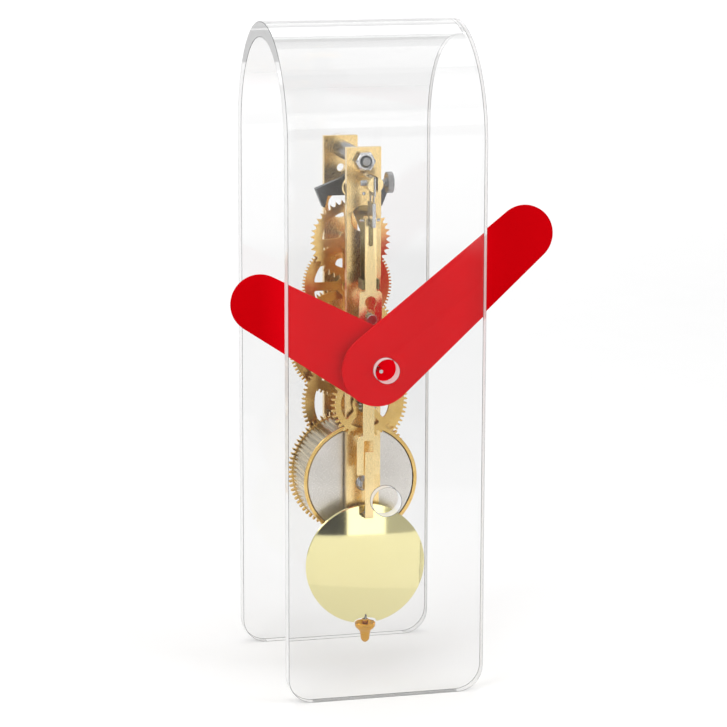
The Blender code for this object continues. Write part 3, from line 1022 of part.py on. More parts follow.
def pendulum():
    """Lower block, two leaders, rod, bob and rating nut, all hung from the flex line."""
    axis = carrier_at("pendulum_axis", (0, POST_Y, FLEX_Z))
    pin_y = UPPER_LEADER_Y + STRIP_THICKNESS + SEAT_GAP + CROSS_PIN_RADIUS
    block_y = POST_Y + LOWER_BLOCK_FRONT
    block = [(0, -FLEX_BELOW - LOWER_BLOCK_HEIGHT), (LOWER_BLOCK_DEPTH, -FLEX_BELOW - LOWER_BLOCK_HEIGHT),
             (LOWER_BLOCK_DEPTH, -FLEX_BELOW), (0, -FLEX_BELOW)]
    hole = circle(CROSS_PIN_RADIUS + SEAT_GAP, (pin_y - block_y, -CROSS_PIN_DROP), 12)
    piece("suspension_block_lower", sideways(block, LOWER_BLOCK_THICKNESS, [hole]), STEEL,
          (0, block_y, FLEX_Z), axis)
    pin = turned([(0, -CROSS_PIN_LENGTH / 2), (CROSS_PIN_RADIUS, -CROSS_PIN_LENGTH / 2),
                  (CROSS_PIN_RADIUS, CROSS_PIN_LENGTH / 2), (0, CROSS_PIN_LENGTH / 2)], "X", SMALL_SIDES)
    piece("cross_pin", pin, STEEL, (0, pin_y, CROSS_PIN_Z), axis)
    upper_leader(axis, pin_y)
    lower_leader(axis)
    rod(axis)
    bob(axis)


def upper_leader(axis, pin_y):
    """Strip hooked over the cross pin, widening to an eye with a keyhole for the stud below."""
    half, slot = UPPER_LEADER_WIDTH / 2, UPPER_LEADER_SLOT / 2
    front, back = UPPER_LEADER_Y, UPPER_LEADER_Y + STRIP_THICKNESS
    hook_bore = CROSS_PIN_RADIUS + SEAT_GAP
    hook = arc(hook_bore + STRIP_THICKNESS, pi, 0, 6, (pin_y, CROSS_PIN_Z))
    hook += arc(hook_bore, 0, pi, 6, (pin_y, CROSS_PIN_Z))
    foot = LEADER_STUD_Z - EYE_FOOT_MARGIN
    side = [(front, foot - OVERRUN)] + hook + [(back, foot - OVERRUN)]
    strip = piece("leader_upper", sideways(side, EYE_WIDTH + OVERRUN), BRASS, (0, 0, 0), axis)

    top = CROSS_PIN_Z + hook_bore + STRIP_THICKNESS + OVERRUN
    eye = EYE_WIDTH / 2
    corner_x = eye - EYE_SHOULDER_RADIUS
    right = [(slot, top), (half, top), (half, EYE_SHOULDER_Z)]
    right += arc(EYE_SHOULDER_RADIUS, pi / 2, 0, 4, (corner_x, EYE_SHOULDER_Z - EYE_SHOULDER_RADIUS))
    right += arc(EYE_SHOULDER_RADIUS, 0, -pi / 2, 4, (corner_x, foot + EYE_SHOULDER_RADIUS))
    slot_foot = CROSS_PIN_Z - UPPER_LEADER_SLOT_LENGTH
    outline = mirrored(right) + arc(slot, pi, 2 * pi, 4, (0, slot_foot))
    keyhole_edge = asin(EYE_SLOT_WIDTH / 2 / EYE_KEYHOLE_RADIUS)
    keyhole = arc(EYE_KEYHOLE_RADIUS, -pi / 2 + keyhole_edge, 3 * pi / 2 - keyhole_edge, 12, (0, KEYHOLE_Z))
    keyhole += arc(EYE_SLOT_WIDTH / 2, pi, 2 * pi, 6, (0, LEADER_STUD_Z))
    depth = pin_y + hook_bore + STRIP_THICKNESS - front
    face = flat(outline, depth + OVERRUN * 2, [keyhole])
    shape_with(strip, piece("leader_outline", face, BRASS, (0, front - OVERRUN, 0), axis), "INTERSECT")

    stud_y = UPPER_LEADER_Y - SEAT_GAP - LEADER_STUD_HEAD_LENGTH
    shank, head = circle(LEADER_STUD_RADIUS, sides=SMALL_SIDES), circle(LEADER_STUD_HEAD_RADIUS)
    collar = LOWER_LEADER_GAP - SEAT_GAP * 2
    stud = stacked([(LEADER_STUD_HEAD_LENGTH, [head]), (STRIP_THICKNESS + SEAT_GAP * 2, [shank]),
                    (collar, [circle(LEADER_STUD_HEAD_RADIUS, sides=ROUND_SIDES)]),
                    (STRIP_THICKNESS + SEAT_GAP, [shank])])
    piece("leader_stud", stud, STEEL, (0, stud_y, LEADER_STUD_Z), axis)


def lower_leader(axis):
    """Strip with a ring round the hands' arbor and a slotted frame at its foot for the rod."""
    half, frame = LOWER_LEADER_WIDTH / 2, FRAME_WIDTH / 2
    top = LEADER_STUD_Z + LOWER_LEADER_TOP_MARGIN
    join = acos(half / LEADER_RING_RADIUS)
    right = arc(half, pi / 2, 0, 4, (0, top - half))
    right += arc(LEADER_RING_RADIUS, join, -join, 20, (0, HANDS_Z))
    right += [(half, FRAME_TOP_Z)]
    right += arc(frame - half, pi / 2, 0, 4, (half, FRAME_TOP_Z - frame + half))
    right += [(frame, FRAME_FOOT_Z)]
    slot_top, slot_foot = FRAME_TOP_Z - FRAME_SLOT_MARGIN, FRAME_FOOT_Z + FRAME_SLOT_MARGIN
    holes = [circle(LEADER_RING_BORE, (0, HANDS_Z), LARGE_SIDES),
             circle(LEADER_STUD_RADIUS + SEAT_GAP, (0, LEADER_STUD_Z), SMALL_SIDES),
             rectangle(FRAME_SLOT_WIDTH, slot_foot, slot_top)]
    piece("leader_lower", flat(mirrored(right), STRIP_THICKNESS, holes), BRASS, (0, LOWER_LEADER_Y, 0), axis)


def rod(axis):
    """Bar with a hook into the leader's frame above and a tab bent into the bob's slot below."""
    top, half = FRAME_TOP_Z - ROD_TOP_DROP, ROD_WIDTH / 2
    foot, tab_back = BOB_SLOT_Z - ROD_HOOK_THICKNESS, BOB_Y + RATING_SCREW_HEAD_RADIUS
    bend = ROD_THICKNESS
    side = arc(bend, pi, 3 * pi / 2, 4, (ROD_Y + bend, foot + bend))
    side += [(tab_back, foot), (tab_back, foot + ROD_HOOK_THICKNESS)]
    side += [(ROD_Y + ROD_THICKNESS, foot + ROD_HOOK_THICKNESS)]
    side += [(ROD_Y + ROD_THICKNESS, top + OVERRUN), (ROD_Y, top + OVERRUN)]
    bar = piece("pendulum_rod", sideways(side, ROD_WIDTH + OVERRUN), BRASS, (0, 0, 0), axis)
    right = [(half, top), (half, foot - OVERRUN)]
    face = flat(mirrored(right), tab_back - ROD_Y + OVERRUN * 2)
    shape_with(bar, piece("rod_outline", face, BRASS, (0, ROD_Y - OVERRUN, 0), axis), "INTERSECT")

    slot_foot = FRAME_FOOT_Z + FRAME_SLOT_MARGIN + SEAT_GAP
    front, lip = ROD_Y + ROD_THICKNESS / 2, LOWER_LEADER_Y + STRIP_THICKNESS + SEAT_GAP
    hook_back, hook_top = lip + ROD_HOOK_THICKNESS, slot_foot + ROD_HOOK_THICKNESS
    hook = [(front, slot_foot), (lip, slot_foot), (lip, slot_foot - ROD_HOOK_LIP),
            (hook_back, slot_foot - ROD_HOOK_LIP), (hook_back, hook_top), (front, hook_top)]
    shape_with(bar, piece("rod_hook", sideways(hook, ROD_HOOK_WIDTH), BRASS, (0, 0, 0), axis), "UNION")
    hole_radius = RATING_SCREW_RADIUS + SEAT_GAP
    drill_foot, drill_top = foot - OVERRUN, foot + ROD_HOOK_THICKNESS + OVERRUN
    drill = turned([(0, drill_foot), (hole_radius, drill_foot), (hole_radius, drill_top), (0, drill_top)],
                   "Z", SMALL_SIDES)
    shape_with(bar, piece("rod_drill", drill, BRASS, (0, BOB_Y, 0), axis))

    screw_top = foot + ROD_HOOK_THICKNESS + SEAT_GAP + RATING_SCREW_HEAD_LENGTH
    screw_foot = RATING_NUT_Z - RATING_NUT_CUP_DEPTH - RATING_SCREW_GRIP
    screw = turned([(0, screw_foot), (RATING_SCREW_RADIUS, screw_foot),
                    (RATING_SCREW_RADIUS, screw_top - RATING_SCREW_HEAD_LENGTH),
                    (RATING_SCREW_HEAD_RADIUS, screw_top - RATING_SCREW_HEAD_LENGTH),
                    (RATING_SCREW_HEAD_RADIUS, screw_top), (0, screw_top)], "Z", SMALL_SIDES)
    piece("rating_screw", screw, STEEL, (0, BOB_Y, 0), axis)


def bob(axis):
    """Polished lens with a slot for the rod, a bore for the rating screw and a notch for the nut."""
    bulge = (BOB_THICKNESS - BOB_EDGE) / 2
    curve = (BOB_RADIUS ** 2 + bulge ** 2) / (2 * bulge)
    sweep = asin(BOB_RADIUS / curve)
    angles = [sweep * k / 5 for k in range(6)]
    front = [(curve * sin(angle), BOB_THICKNESS / 2 - curve * (1 - cos(angle))) for angle in angles]
    profile = front + [(radius, -along) for radius, along in reversed(front)]
    lens = piece("bob", turned(profile, "Y", LARGE_SIDES), POLISHED_BRASS, (0, BOB_Y, BOB_Z), axis)
    through = BOB_THICKNESS + OVERRUN * 2
    slot_half = BOB_SLOT_HEIGHT / 2
    slot = flat(rectangle(BOB_SLOT_WIDTH, BOB_SLOT_Z - slot_half, BOB_SLOT_Z + slot_half), through)
    bob_front = BOB_Y - through / 2
    shape_with(lens, piece("bob_slot_cutter", slot, POLISHED_BRASS, (0, bob_front, 0), axis))
    bottom = BOB_Z - BOB_RADIUS
    roof = bottom + BOB_NOTCH_HEIGHT
    side = bottom + BOB_NOTCH_HEIGHT * BOB_NOTCH_SIDE_SHARE
    notch_half = BOB_NOTCH_WIDTH / 2
    roof_half = notch_half * BOB_NOTCH_ROOF_SHARE
    notch = mirrored([(roof_half, roof), (notch_half, side), (notch_half, bottom - OVERRUN)])
    notch = flat(notch, through)
    shape_with(lens, piece("bob_notch_cutter", notch, POLISHED_BRASS, (0, bob_front, 0), axis))
    bore = [(0, bottom), (BOB_BORE_RADIUS, bottom), (BOB_BORE_RADIUS, BOB_SLOT_Z), (0, BOB_SLOT_Z)]
    bore = turned(bore, "Z", SMALL_SIDES)
    shape_with(lens, piece("bob_bore_cutter", bore, POLISHED_BRASS, (0, BOB_Y, 0), axis))

    neck_top = roof - SEAT_GAP
    cup = RATING_NUT_Z - RATING_NUT_CUP_DEPTH
    bore_radius = RATING_SCREW_RADIUS + RUN_GAP
    bore_foot = cup - RATING_SCREW_GRIP - RATING_TRAVEL - SEAT_GAP
    tip = NUT_TIP_HEIGHT
    height, radius = RATING_NUT_HEIGHT, RATING_NUT_RADIUS
    outside_shares = ((0, 1), (0.22, 0.98), (0.34, 0.80), (0.50, 0.52), (0.88, 0.42), (0.95, 0.26),
                      (1, 0.16))
    outside = [(radius * wide, RATING_NUT_Z - height * down) for down, wide in outside_shares]
    profile = [(0, bore_foot), (bore_radius, bore_foot), (bore_radius, neck_top),
               (RATING_NUT_NECK_RADIUS, neck_top), (RATING_NUT_NECK_RADIUS, cup),
               (radius * RATING_NUT_CUP_FLOOR_SHARE, cup),
               (radius * RATING_NUT_CUP_RIM_SHARE, RATING_NUT_Z)] + outside + [(0, tip)]
    nut_axis = carrier_at("rating_nut_axis", (0, BOB_Y, RATING_NUT_Z))
    piece("rating_nut", turned(profile, "Z"), BRASS, (0, BOB_Y, 0), nut_axis)


acrylic_case()
plates()
pillars()
plate_fasteners()
case_mounting()
going_train()
escapement()
motion_work()
suspension()
pendulum()
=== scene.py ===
import json
from math import acos, asin, cos, pi, radians, sin, sqrt
import bmesh
import bpy
from mathutils import Matrix, Vector


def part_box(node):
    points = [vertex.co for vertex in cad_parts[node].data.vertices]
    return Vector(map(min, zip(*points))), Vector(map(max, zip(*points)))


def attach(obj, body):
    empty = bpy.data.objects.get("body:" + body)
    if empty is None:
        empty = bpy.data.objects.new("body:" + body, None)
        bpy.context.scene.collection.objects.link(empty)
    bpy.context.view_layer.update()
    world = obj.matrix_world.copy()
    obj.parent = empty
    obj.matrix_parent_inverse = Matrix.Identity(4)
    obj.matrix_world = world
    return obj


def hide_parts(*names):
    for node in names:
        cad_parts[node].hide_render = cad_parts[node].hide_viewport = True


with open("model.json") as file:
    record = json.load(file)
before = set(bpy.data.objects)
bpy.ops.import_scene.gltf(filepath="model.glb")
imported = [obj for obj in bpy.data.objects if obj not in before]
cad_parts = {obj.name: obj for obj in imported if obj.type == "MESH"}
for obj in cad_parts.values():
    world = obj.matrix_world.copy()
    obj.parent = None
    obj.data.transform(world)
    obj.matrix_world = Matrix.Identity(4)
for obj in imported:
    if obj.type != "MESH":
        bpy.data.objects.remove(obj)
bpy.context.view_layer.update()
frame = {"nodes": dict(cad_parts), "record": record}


# Acrylic case. One sheet of clear cast acrylic, sawn with round feet and drilled while flat,
# its edges flame polished, then heated along the middle and bent over a former into an arch.
case_low, case_high = (Vector(corner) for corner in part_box("acrylic_case"))
sheet = 0.006
foot_radius, polished_corner = 0.010, 0.0006
bend_radius = (case_high.y - case_low.y) / 2
wall_height = case_high.z - bend_radius
arch_length = pi * bend_radius
sheet_length = wall_height * 2 + arch_length
arch_steps = 64
hand_axis_z, barrel_axis_z = 0.1278, 0.0772
upper_pillar_z, lower_pillar_z = 0.206, 0.046
hand_hole_radius, key_hole_radius, screw_hole_radius = 0.00475, 0.00575, 0.00215
hand_hole_rise, key_hole_rise = 0.0019, 0.0012
case_drillings = ((hand_hole_radius, hand_axis_z + hand_hole_rise),
                  (key_hole_radius, barrel_axis_z + key_hole_rise),
                  (screw_hole_radius, sheet_length - upper_pillar_z),
                  (screw_hole_radius, sheet_length - lower_pillar_z))


def wire(bm, points, closed=True):
    """Lay a wire through (x, z) points in the plane of the sheet."""
    verts = [bm.verts.new((x, 0, z)) for x, z in points]
    pairs = list(zip(verts, verts[1:])) + ([(verts[-1], verts[0])] if closed else [])
    return [bm.edges.new(pair) for pair in pairs]


def drilled_circle(bm, radius, x=0.0, z=0.0, sides=32):
    bmesh.ops.create_circle(bm, cap_ends=False, radius=radius, segments=sides,
                            matrix=Matrix.Translation((x, 0, z)) @ Matrix.Rotation(pi / 2, 4, "X"))


def sweep(radius, start, end, steps, x=0.0, z=0.0):
    """Points along an arc about (x, z), from one angle to another."""
    turns = [start + (end - start) * k / steps for k in range(steps + 1)]
    return [(x + radius * cos(a), z + radius * sin(a)) for a in turns]


def fill_and_thicken(bm, depth, edge=0.0, rounds=1):
    """Fill the wires of a flat outline, give the sheet its thickness and break its edges."""
    bmesh.ops.triangle_fill(bm, edges=bm.edges[:], use_beauty=True, use_dissolve=True)
    made = bmesh.ops.extrude_face_region(bm, geom=bm.faces[:], use_keep_orig=True)["geom"]
    bmesh.ops.translate(bm, verts=[v for v in made if isinstance(v, bmesh.types.BMVert)], vec=(0, depth, 0))
    bmesh.ops.recalc_face_normals(bm, faces=bm.faces[:])
    if edge:
        break_edges(bm, edge, rounds)


def sharp_edges(bm, sharpest=0.9):
    return [e for e in bm.edges if len(e.link_faces) == 2 and e.calc_face_angle() > sharpest]


def break_edges(bm, edge, rounds=1, corners=None):
    """Chamfer or round the sharp edges of a piece, or those that are given."""
    bmesh.ops.bevel(bm, geom=corners or sharp_edges(bm), offset=edge, segments=rounds, affect="EDGES",
                    profile=0.5, material=-1, clamp_overlap=True)


def put(name, bm, body, finish, stands_for=(), smooth_angle=18):
    """Make the finished piece, ride it on its body and give it its finish."""
    mesh = bpy.data.meshes.new(name)
    bm.to_mesh(mesh)
    bm.free()
    mesh.shade_smooth()
    mesh.set_sharp_from_angle(angle=radians(smooth_angle))
    mesh.materials.append(finish)
    made = bpy.data.objects.new(name, mesh)
    bpy.context.scene.collection.objects.link(made)
    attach(made, body)
    if stands_for:
        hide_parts(*stands_for)


def noise(tree, coords, scale, detail=2.0):
    mapping = tree.nodes.new("ShaderNodeMapping")
    mapping.inputs["Scale"].default_value = (scale, scale, scale)
    tree.links.new(coords, mapping.inputs["Vector"])
    made = tree.nodes.new("ShaderNodeTexNoise")
    made.inputs["Scale"].default_value = 1.0
    made.inputs["Detail"].default_value = detail
    tree.links.new(mapping.outputs["Vector"], made.inputs["Vector"])
    return made.outputs["Fac"]


def remap(tree, value, start, end, low, high, eased_ends=False):
    """Carry a value that runs from start to end over to low to high, and hold it there."""
    made = tree.nodes.new("ShaderNodeMapRange")
    if eased_ends:
        made.interpolation_type = "SMOOTHSTEP"
    for name, setting in (("From Min", start), ("From Max", end), ("To Min", low), ("To Max", high)):
        made.inputs[name].default_value = setting
    tree.links.new(value, made.inputs["Value"])
    return made.outputs["Result"]


def spread(tree, pattern, low, high):
    """Stretch a noise, which stays mostly between 0.3 and 0.7, over the whole of a range."""
    return remap(tree, pattern, 0.3, 0.7, low, high)


def grey(level):
    return (level, level, level)


def tint(tree, value, low, high):
    """Mix two colours by a value from 0 to 1."""
    made = tree.nodes.new("ShaderNodeMix")
    made.data_type = "RGBA"
    made.inputs["A"].default_value = (*low, 1)
    made.inputs["B"].default_value = (*high, 1)
    tree.links.new(value, made.inputs["Factor"])
    return made.outputs["Result"]


def combine(tree, operation, *values):
    """Work out one value from others, each a socket or a float."""
    made = tree.nodes.new("ShaderNodeMath")
    made.operation = operation
    for socket, value in zip(made.inputs, values):
        if isinstance(value, float):
            socket.default_value = value
        else:
            tree.links.new(value, socket)
    return made.outputs["Value"]


def either_shader(tree, share, first, second):
    made = tree.nodes.new("ShaderNodeMixShader")
    tree.links.new(share, made.inputs["Fac"])
    tree.links.new(first, made.inputs[1])
    tree.links.new(second, made.inputs[2])
    return made.outputs["Shader"]


def new_finish(name):
    made = bpy.data.materials.new(name)
    made.use_nodes = True
    tree = made.node_tree
    coords = tree.nodes.new("ShaderNodeTexCoord")
    return made, tree, tree.nodes["Principled BSDF"], coords.outputs["Object"]


clear_acrylic, tree, shader, place = new_finish("cast_acrylic")
shader.inputs["Transmission Weight"].default_value = 1.0
shader.inputs["IOR"].default_value = 1.49
shader.inputs["Specular Tint"].default_value = (*grey(0.45), 1)
shader.inputs["Roughness"].default_value = 0.0
haze = noise(tree, place, 60, detail=1.0)
tree.links.new(tint(tree, haze, grey(0.905), grey(0.915)), shader.inputs["Base Color"])

# Shadows and scattered light pass straight through the sheet.
see_through = tree.nodes.new("ShaderNodeBsdfTransparent")
see_through.inputs["Color"].default_value = (*grey(0.96), 1)
path = tree.nodes.new("ShaderNodeLightPath")
soft_light = combine(tree, "MAXIMUM", path.outputs["Is Shadow Ray"], path.outputs["Is Diffuse Ray"])
wall_look = either_shader(tree, soft_light, shader.outputs["BSDF"], see_through.outputs["BSDF"])

# cut_edge is 0 on the sheet's two faces and 1 on the square of a sawn edge. The rounded corner between them
# is painted as a dark line, painted shade for the dark a rounded clear edge shows, and the square of the edge
# is clear with a little painted white, painted light for the brightness of a polished edge.
cut_edge = tree.nodes.new("ShaderNodeAttribute")
cut_edge.attribute_name = "cut_edge"
squareness = remap(tree, cut_edge.outputs["Fac"], 0.6, 0.95, 0.0, 1.0)
edge_clear_and_painted_dark = tree.nodes.new("ShaderNodeBsdfTransparent")
tree.links.new(tint(tree, squareness, grey(0.06), grey(0.80)), edge_clear_and_painted_dark.inputs["Color"])
edge_painted_white = tree.nodes.new("ShaderNodeBsdfDiffuse")
edge_painted_white.inputs["Color"].default_value = (*grey(0.95), 1)
painted_white_share = combine(tree, "MULTIPLY_ADD", squareness, 0.54, 0.06)
edge_look = either_shader(tree, painted_white_share, edge_clear_and_painted_dark.outputs["BSDF"], edge_painted_white.outputs["BSDF"])
is_edge = combine(tree, "GREATER_THAN", cut_edge.outputs["Fac"], 0.05)
acrylic_surface = tree.nodes["Material Output"].inputs["Surface"]
tree.links.new(either_shader(tree, is_edge, wall_look, edge_look), acrylic_surface)

bm = bmesh.new()
half_width = case_high.x
right, left, far = half_width - foot_radius, foot_radius - half_width, sheet_length - foot_radius
sheet_outline = []
for quarter, (x, along) in enumerate(((right, foot_radius), (right, far), (left, far), (left, foot_radius))):
    sheet_outline += sweep(foot_radius, pi / 2 * (quarter - 1), pi / 2 * quarter, 8, x, along)
wire(bm, sheet_outline)
for radius, along in case_drillings:
    drilled_circle(bm, radius, 0, along, 48)
fill_and_thicken(bm, sheet, polished_corner, 2)
sawn = bm.faces.layers.float.new("cut_edge")
for face in bm.faces:
    face[sawn] = 1 - abs(face.normal.y)
for k in range(-1, arch_steps + 2):
    cut = wall_height + arch_length * k / arch_steps
    bmesh.ops.bisect_plane(bm, geom=bm.verts[:] + bm.edges[:] + bm.faces[:], dist=1e-6,
                           plane_co=(0, 0, cut), plane_no=(0, 0, 1))
for vert in bm.verts:
    x, depth, along = vert.co
    bend = (along - wall_height) / bend_radius
    radius = bend_radius - depth
    if bend <= 0:
        vert.co = (x, case_low.y + depth, along)
    elif bend < pi:
        vert.co = (x, case_low.y + bend_radius - radius * cos(bend), wall_height + radius * sin(bend))
    else:
        vert.co = (x, case_high.y - depth, sheet_length - along)
put("acrylic_arch", bm, "case_and_frame", clear_acrylic, ["acrylic_case"], 12)


# Plates. Two bars of rolled brass, ground along their length and lacquered, with reamed pivot
# holes and countersunk edges. Every arbor of the movement turns between them.
grain_group = bpy.data.node_groups.new("ground_grain", "ShaderNodeTree")
for socket in ("Along X", "Along Y", "Along Z"):
    grain_group.interface.new_socket(socket, in_out="INPUT", socket_type="NodeSocketFloat")
grain_group.interface.new_socket("Place", in_out="INPUT", socket_type="NodeSocketVector")
for socket in ("Grain", "Cloud"):
    grain_group.interface.new_socket(socket, in_out="OUTPUT", socket_type="NodeSocketFloat")
inside, outside = grain_group.nodes.new("NodeGroupInput"), grain_group.nodes.new("NodeGroupOutput")
scales = grain_group.nodes.new("ShaderNodeCombineXYZ")
stretched = grain_group.nodes.new("ShaderNodeVectorMath")
stretched.operation = "MULTIPLY"
for axis in "XYZ":
    grain_group.links.new(inside.outputs["Along " + axis], scales.inputs[axis])
grain_group.links.new(inside.outputs["Place"], stretched.inputs[0])
grain_group.links.new(scales.outputs["Vector"], stretched.inputs[1])
for socket, scale, detail in (("Grain", 1.0, 3.0), ("Cloud", 0.02, 2.0)):
    texture = grain_group.nodes.new("ShaderNodeTexNoise")
    texture.inputs["Scale"].default_value = scale
    texture.inputs["Detail"].default_value = detail
    grain_group.links.new(stretched.outputs["Vector"], texture.inputs["Vector"])
    grain_group.links.new(texture.outputs["Fac"], outside.inputs[socket])


def ground_metal(name, dark, light, rough, grain, relief=0.02, streaks=0.0):
    """Metal with a ground grain: grain is how fine it is along X, Y and Z, relief how deep, and
    streaks how much of its light and dark follows the grain; where streaks is set, that light and dark is
    painted sheen as well as grain."""
    made, tree, shader, place = new_finish(name)
    ground = tree.nodes.new("ShaderNodeGroup")
    ground.node_tree = grain_group
    for axis, fineness in zip("XYZ", grain):
        ground.inputs["Along " + axis].default_value = fineness
    tree.links.new(place, ground.inputs["Place"])
    shader.inputs["Metallic"].default_value = 1.0
    shade = tree.nodes.new("ShaderNodeMix")
    shade.inputs["Factor"].default_value = streaks
    tree.links.new(ground.outputs["Cloud"], shade.inputs["A"])
    tree.links.new(spread(tree, ground.outputs["Grain"], 0, 1), shade.inputs["B"])
    tree.links.new(tint(tree, shade.outputs["Result"], dark, light), shader.inputs["Base Color"])
    tree.links.new(spread(tree, ground.outputs["Grain"], rough * 0.7, rough * 1.4),
                   shader.inputs["Roughness"])
    surface_grain(tree, shader, ground.outputs["Grain"], relief)
    return made


def surface_grain(tree, shader, height, relief):
    """Raise a pattern on the surface, a tenth of a millimetre high at full relief."""
    bump = tree.nodes.new("ShaderNodeBump")
    bump.inputs["Strength"].default_value = relief
    bump.inputs["Distance"].default_value = 0.0001
    tree.links.new(height, bump.inputs["Height"])
    tree.links.new(bump.outputs["Normal"], shader.inputs["Normal"])


def move_to(bm, x=0.0, y=0.0, z=0.0):
    bmesh.ops.translate(bm, verts=bm.verts[:], vec=(x, y, z))


# The brass runs lighter and darker in soft bands stretched along the bar: partly grain tone, partly painted
# reflection of the bands a ground plate mirrors.
plate_brass = ground_metal("plate_brass", dark=(0.88, 0.61, 0.25), light=(0.97, 0.76, 0.39), rough=0.24,
                           grain=(12000, 12000, 900), relief=0.02)
frame_body = "case_and_frame"
plate_foot, plate_top = (corner[2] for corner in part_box("front_plate"))
plate_width, plate_thickness, plate_corner = 0.0138, 0.003, 0.00022
flex_z, escape_z, third_z = 0.1931, 0.17155, 0.1521
second_x, second_z = 0.0035, 0.1044
post_z, minute_stud_z = flex_z + 0.0059, 0.1098
pivot_hole, second_pivot_hole, centre_hole = 0.0007, 0.0008, 0.0012
bearing_hole, minute_stud_hole, post_hole, pillar_stud_hole = 0.0032, 0.0014, 0.0022, 0.00225
window_radius, window_z = 0.0053, flex_z - 0.0098
rear_bearing_hole = 0.0020
rear_fixing_holes = [(0.00165, 0, upper_pillar_z - 0.0076), (0.00225, 0, third_z + 0.0071),
                     (0.0014, -0.0030, barrel_axis_z + 0.0138)]


def bar_with_holes(name, node, holes):
    bm = bmesh.new()
    half = plate_width / 2
    wire(bm, [(-half, plate_foot), (half, plate_foot), (half, plate_top), (-half, plate_top)])
    for radius, x, z in holes:
        drilled_circle(bm, radius, x, z, 32)
    fill_and_thicken(bm, plate_thickness, plate_corner, 2)
    move_to(bm, y=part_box(node)[0][1])
    put(name, bm, frame_body, plate_brass, [node])


pivot_holes = [(pivot_hole, 0, flex_z), (pivot_hole, 0, escape_z), (pivot_hole, 0, third_z),
               (second_pivot_hole, second_x, second_z)]
bar_with_holes("front_bar", "front_plate", pivot_holes + [
    (pillar_stud_hole, 0, upper_pillar_z), (window_radius, 0, window_z), (bearing_hole, 0, barrel_axis_z),
    (centre_hole, 0, hand_axis_z), (post_hole, 0, post_z), (minute_stud_hole, 0, minute_stud_z),
    (bearing_hole, 0, lower_pillar_z)])
bar_with_holes("rear_bar", "rear_plate", pivot_holes + [
    (window_radius, 0, window_z), (pivot_hole, 0, hand_axis_z), (screw_hole_radius, 0, upper_pillar_z),
    (screw_hole_radius, 0, lower_pillar_z), (rear_bearing_hole, 0, barrel_axis_z)] + rear_fixing_holes)


# Pillars. Two steel bars between the plates, turned in the lathe with their corners broken. The
# upper one ends in front in a threaded stud that takes the nut.
def turn(bm, profile, at, axis="Y", sides=40):
    """Turn a profile of (radius, distance along the axis) into a closed solid."""
    verts = [bm.verts.new((radius, 0, along)) for radius, along in profile]
    hollow = profile[0][0] > 0
    pairs = list(zip(verts, verts[1:])) + ([(verts[-1], verts[0])] if hollow else [])
    edges = [bm.edges.new(pair) for pair in pairs]
    before = set(bm.verts) - set(verts)
    bmesh.ops.spin(bm, geom=verts + edges, cent=(0, 0, 0), axis=(0, 0, 1), angle=2 * pi, steps=sides,
                   use_merge=True)
    made = [v for v in bm.verts if v not in before]
    bmesh.ops.remove_doubles(bm, verts=made, dist=1e-7)
    made = [v for v in bm.verts if v not in before]
    turned_to = {"X": Matrix.Rotation(pi / 2, 4, "Y"), "Y": Matrix.Rotation(-pi / 2, 4, "X"), "Z": Matrix()}
    bmesh.ops.transform(bm, matrix=Matrix.Translation(at) @ turned_to[axis], verts=made)
    bmesh.ops.recalc_face_normals(bm, faces=list({f for v in made for f in v.link_faces}))


def rod_profile(radius, start, end, chamfer=0.0003):
    return [(0, start), (radius - chamfer, start), (radius, start + chamfer), (radius, end - chamfer),
            (radius - chamfer, end), (0, end)]


def ring_profile(bore, radius, start, end, chamfer=0.0002):
    return [(bore, start), (radius - chamfer, start), (radius, start + chamfer), (radius, end - chamfer),
            (radius - chamfer, end), (bore, end)]


grey_steel = ground_metal("grey_steel", dark=(0.23, 0.23, 0.23), light=(0.38, 0.376, 0.37), rough=0.22,
                          grain=(7000, 700, 7000), relief=0.03)
dark_steel = ground_metal("dark_hardened_steel", dark=(0.08, 0.088, 0.093), light=(0.14, 0.148, 0.152),
                          rough=0.34, grain=(3000, 3000, 3000), relief=0.1)
front_y, front_back_y = (corner[1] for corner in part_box("front_plate"))
rear_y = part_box("rear_plate")[0][1]
pillar_radius, seat_gap = 0.0033, 0.0003
pillar_profile = rod_profile(pillar_radius, front_back_y + seat_gap, rear_y - seat_gap)
stud_front, stud_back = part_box("pillar_upper")[0][1], front_back_y + 0.0004
stud_core, stud_tip, stud_countersink = 0.0015, 0.0001, 0.0003
thread_crest, thread_depth, thread_step, thread_back = 0.0020, 0.0002, 0.00025, stud_back - 0.0002
bm = bmesh.new()
turn(bm, pillar_profile, (0, 0, upper_pillar_z))
turn(bm, [(0, stud_front), (stud_core - stud_tip, stud_front), (stud_core, stud_front + stud_tip),
          (stud_core, stud_back), (0, stud_back)], (0, 0, upper_pillar_z), sides=28)
put("upper_pillar_bar", bm, frame_body, grey_steel, ["pillar_upper"])
# The thread is a piece of its own in dark steel: painted shade for the deep ring between the stud and the
# nut's countersink.
thread = [(thread_crest - thread_depth * (k % 2), stud_front + thread_step * k) for k in range(2, 13)]
bm = bmesh.new()
turn(bm, [(stud_core, stud_front + stud_countersink)] + thread
     + [(thread_crest - stud_tip, thread_back), (stud_core, thread_back)], (0, 0, upper_pillar_z), sides=28)
put("stud_thread_painted_shade", bm, frame_body, dark_steel)
bm = bmesh.new()
turn(bm, pillar_profile, (0, 0, lower_pillar_z))
put("lower_pillar_bar", bm, frame_body, grey_steel, ["pillar_lower"])


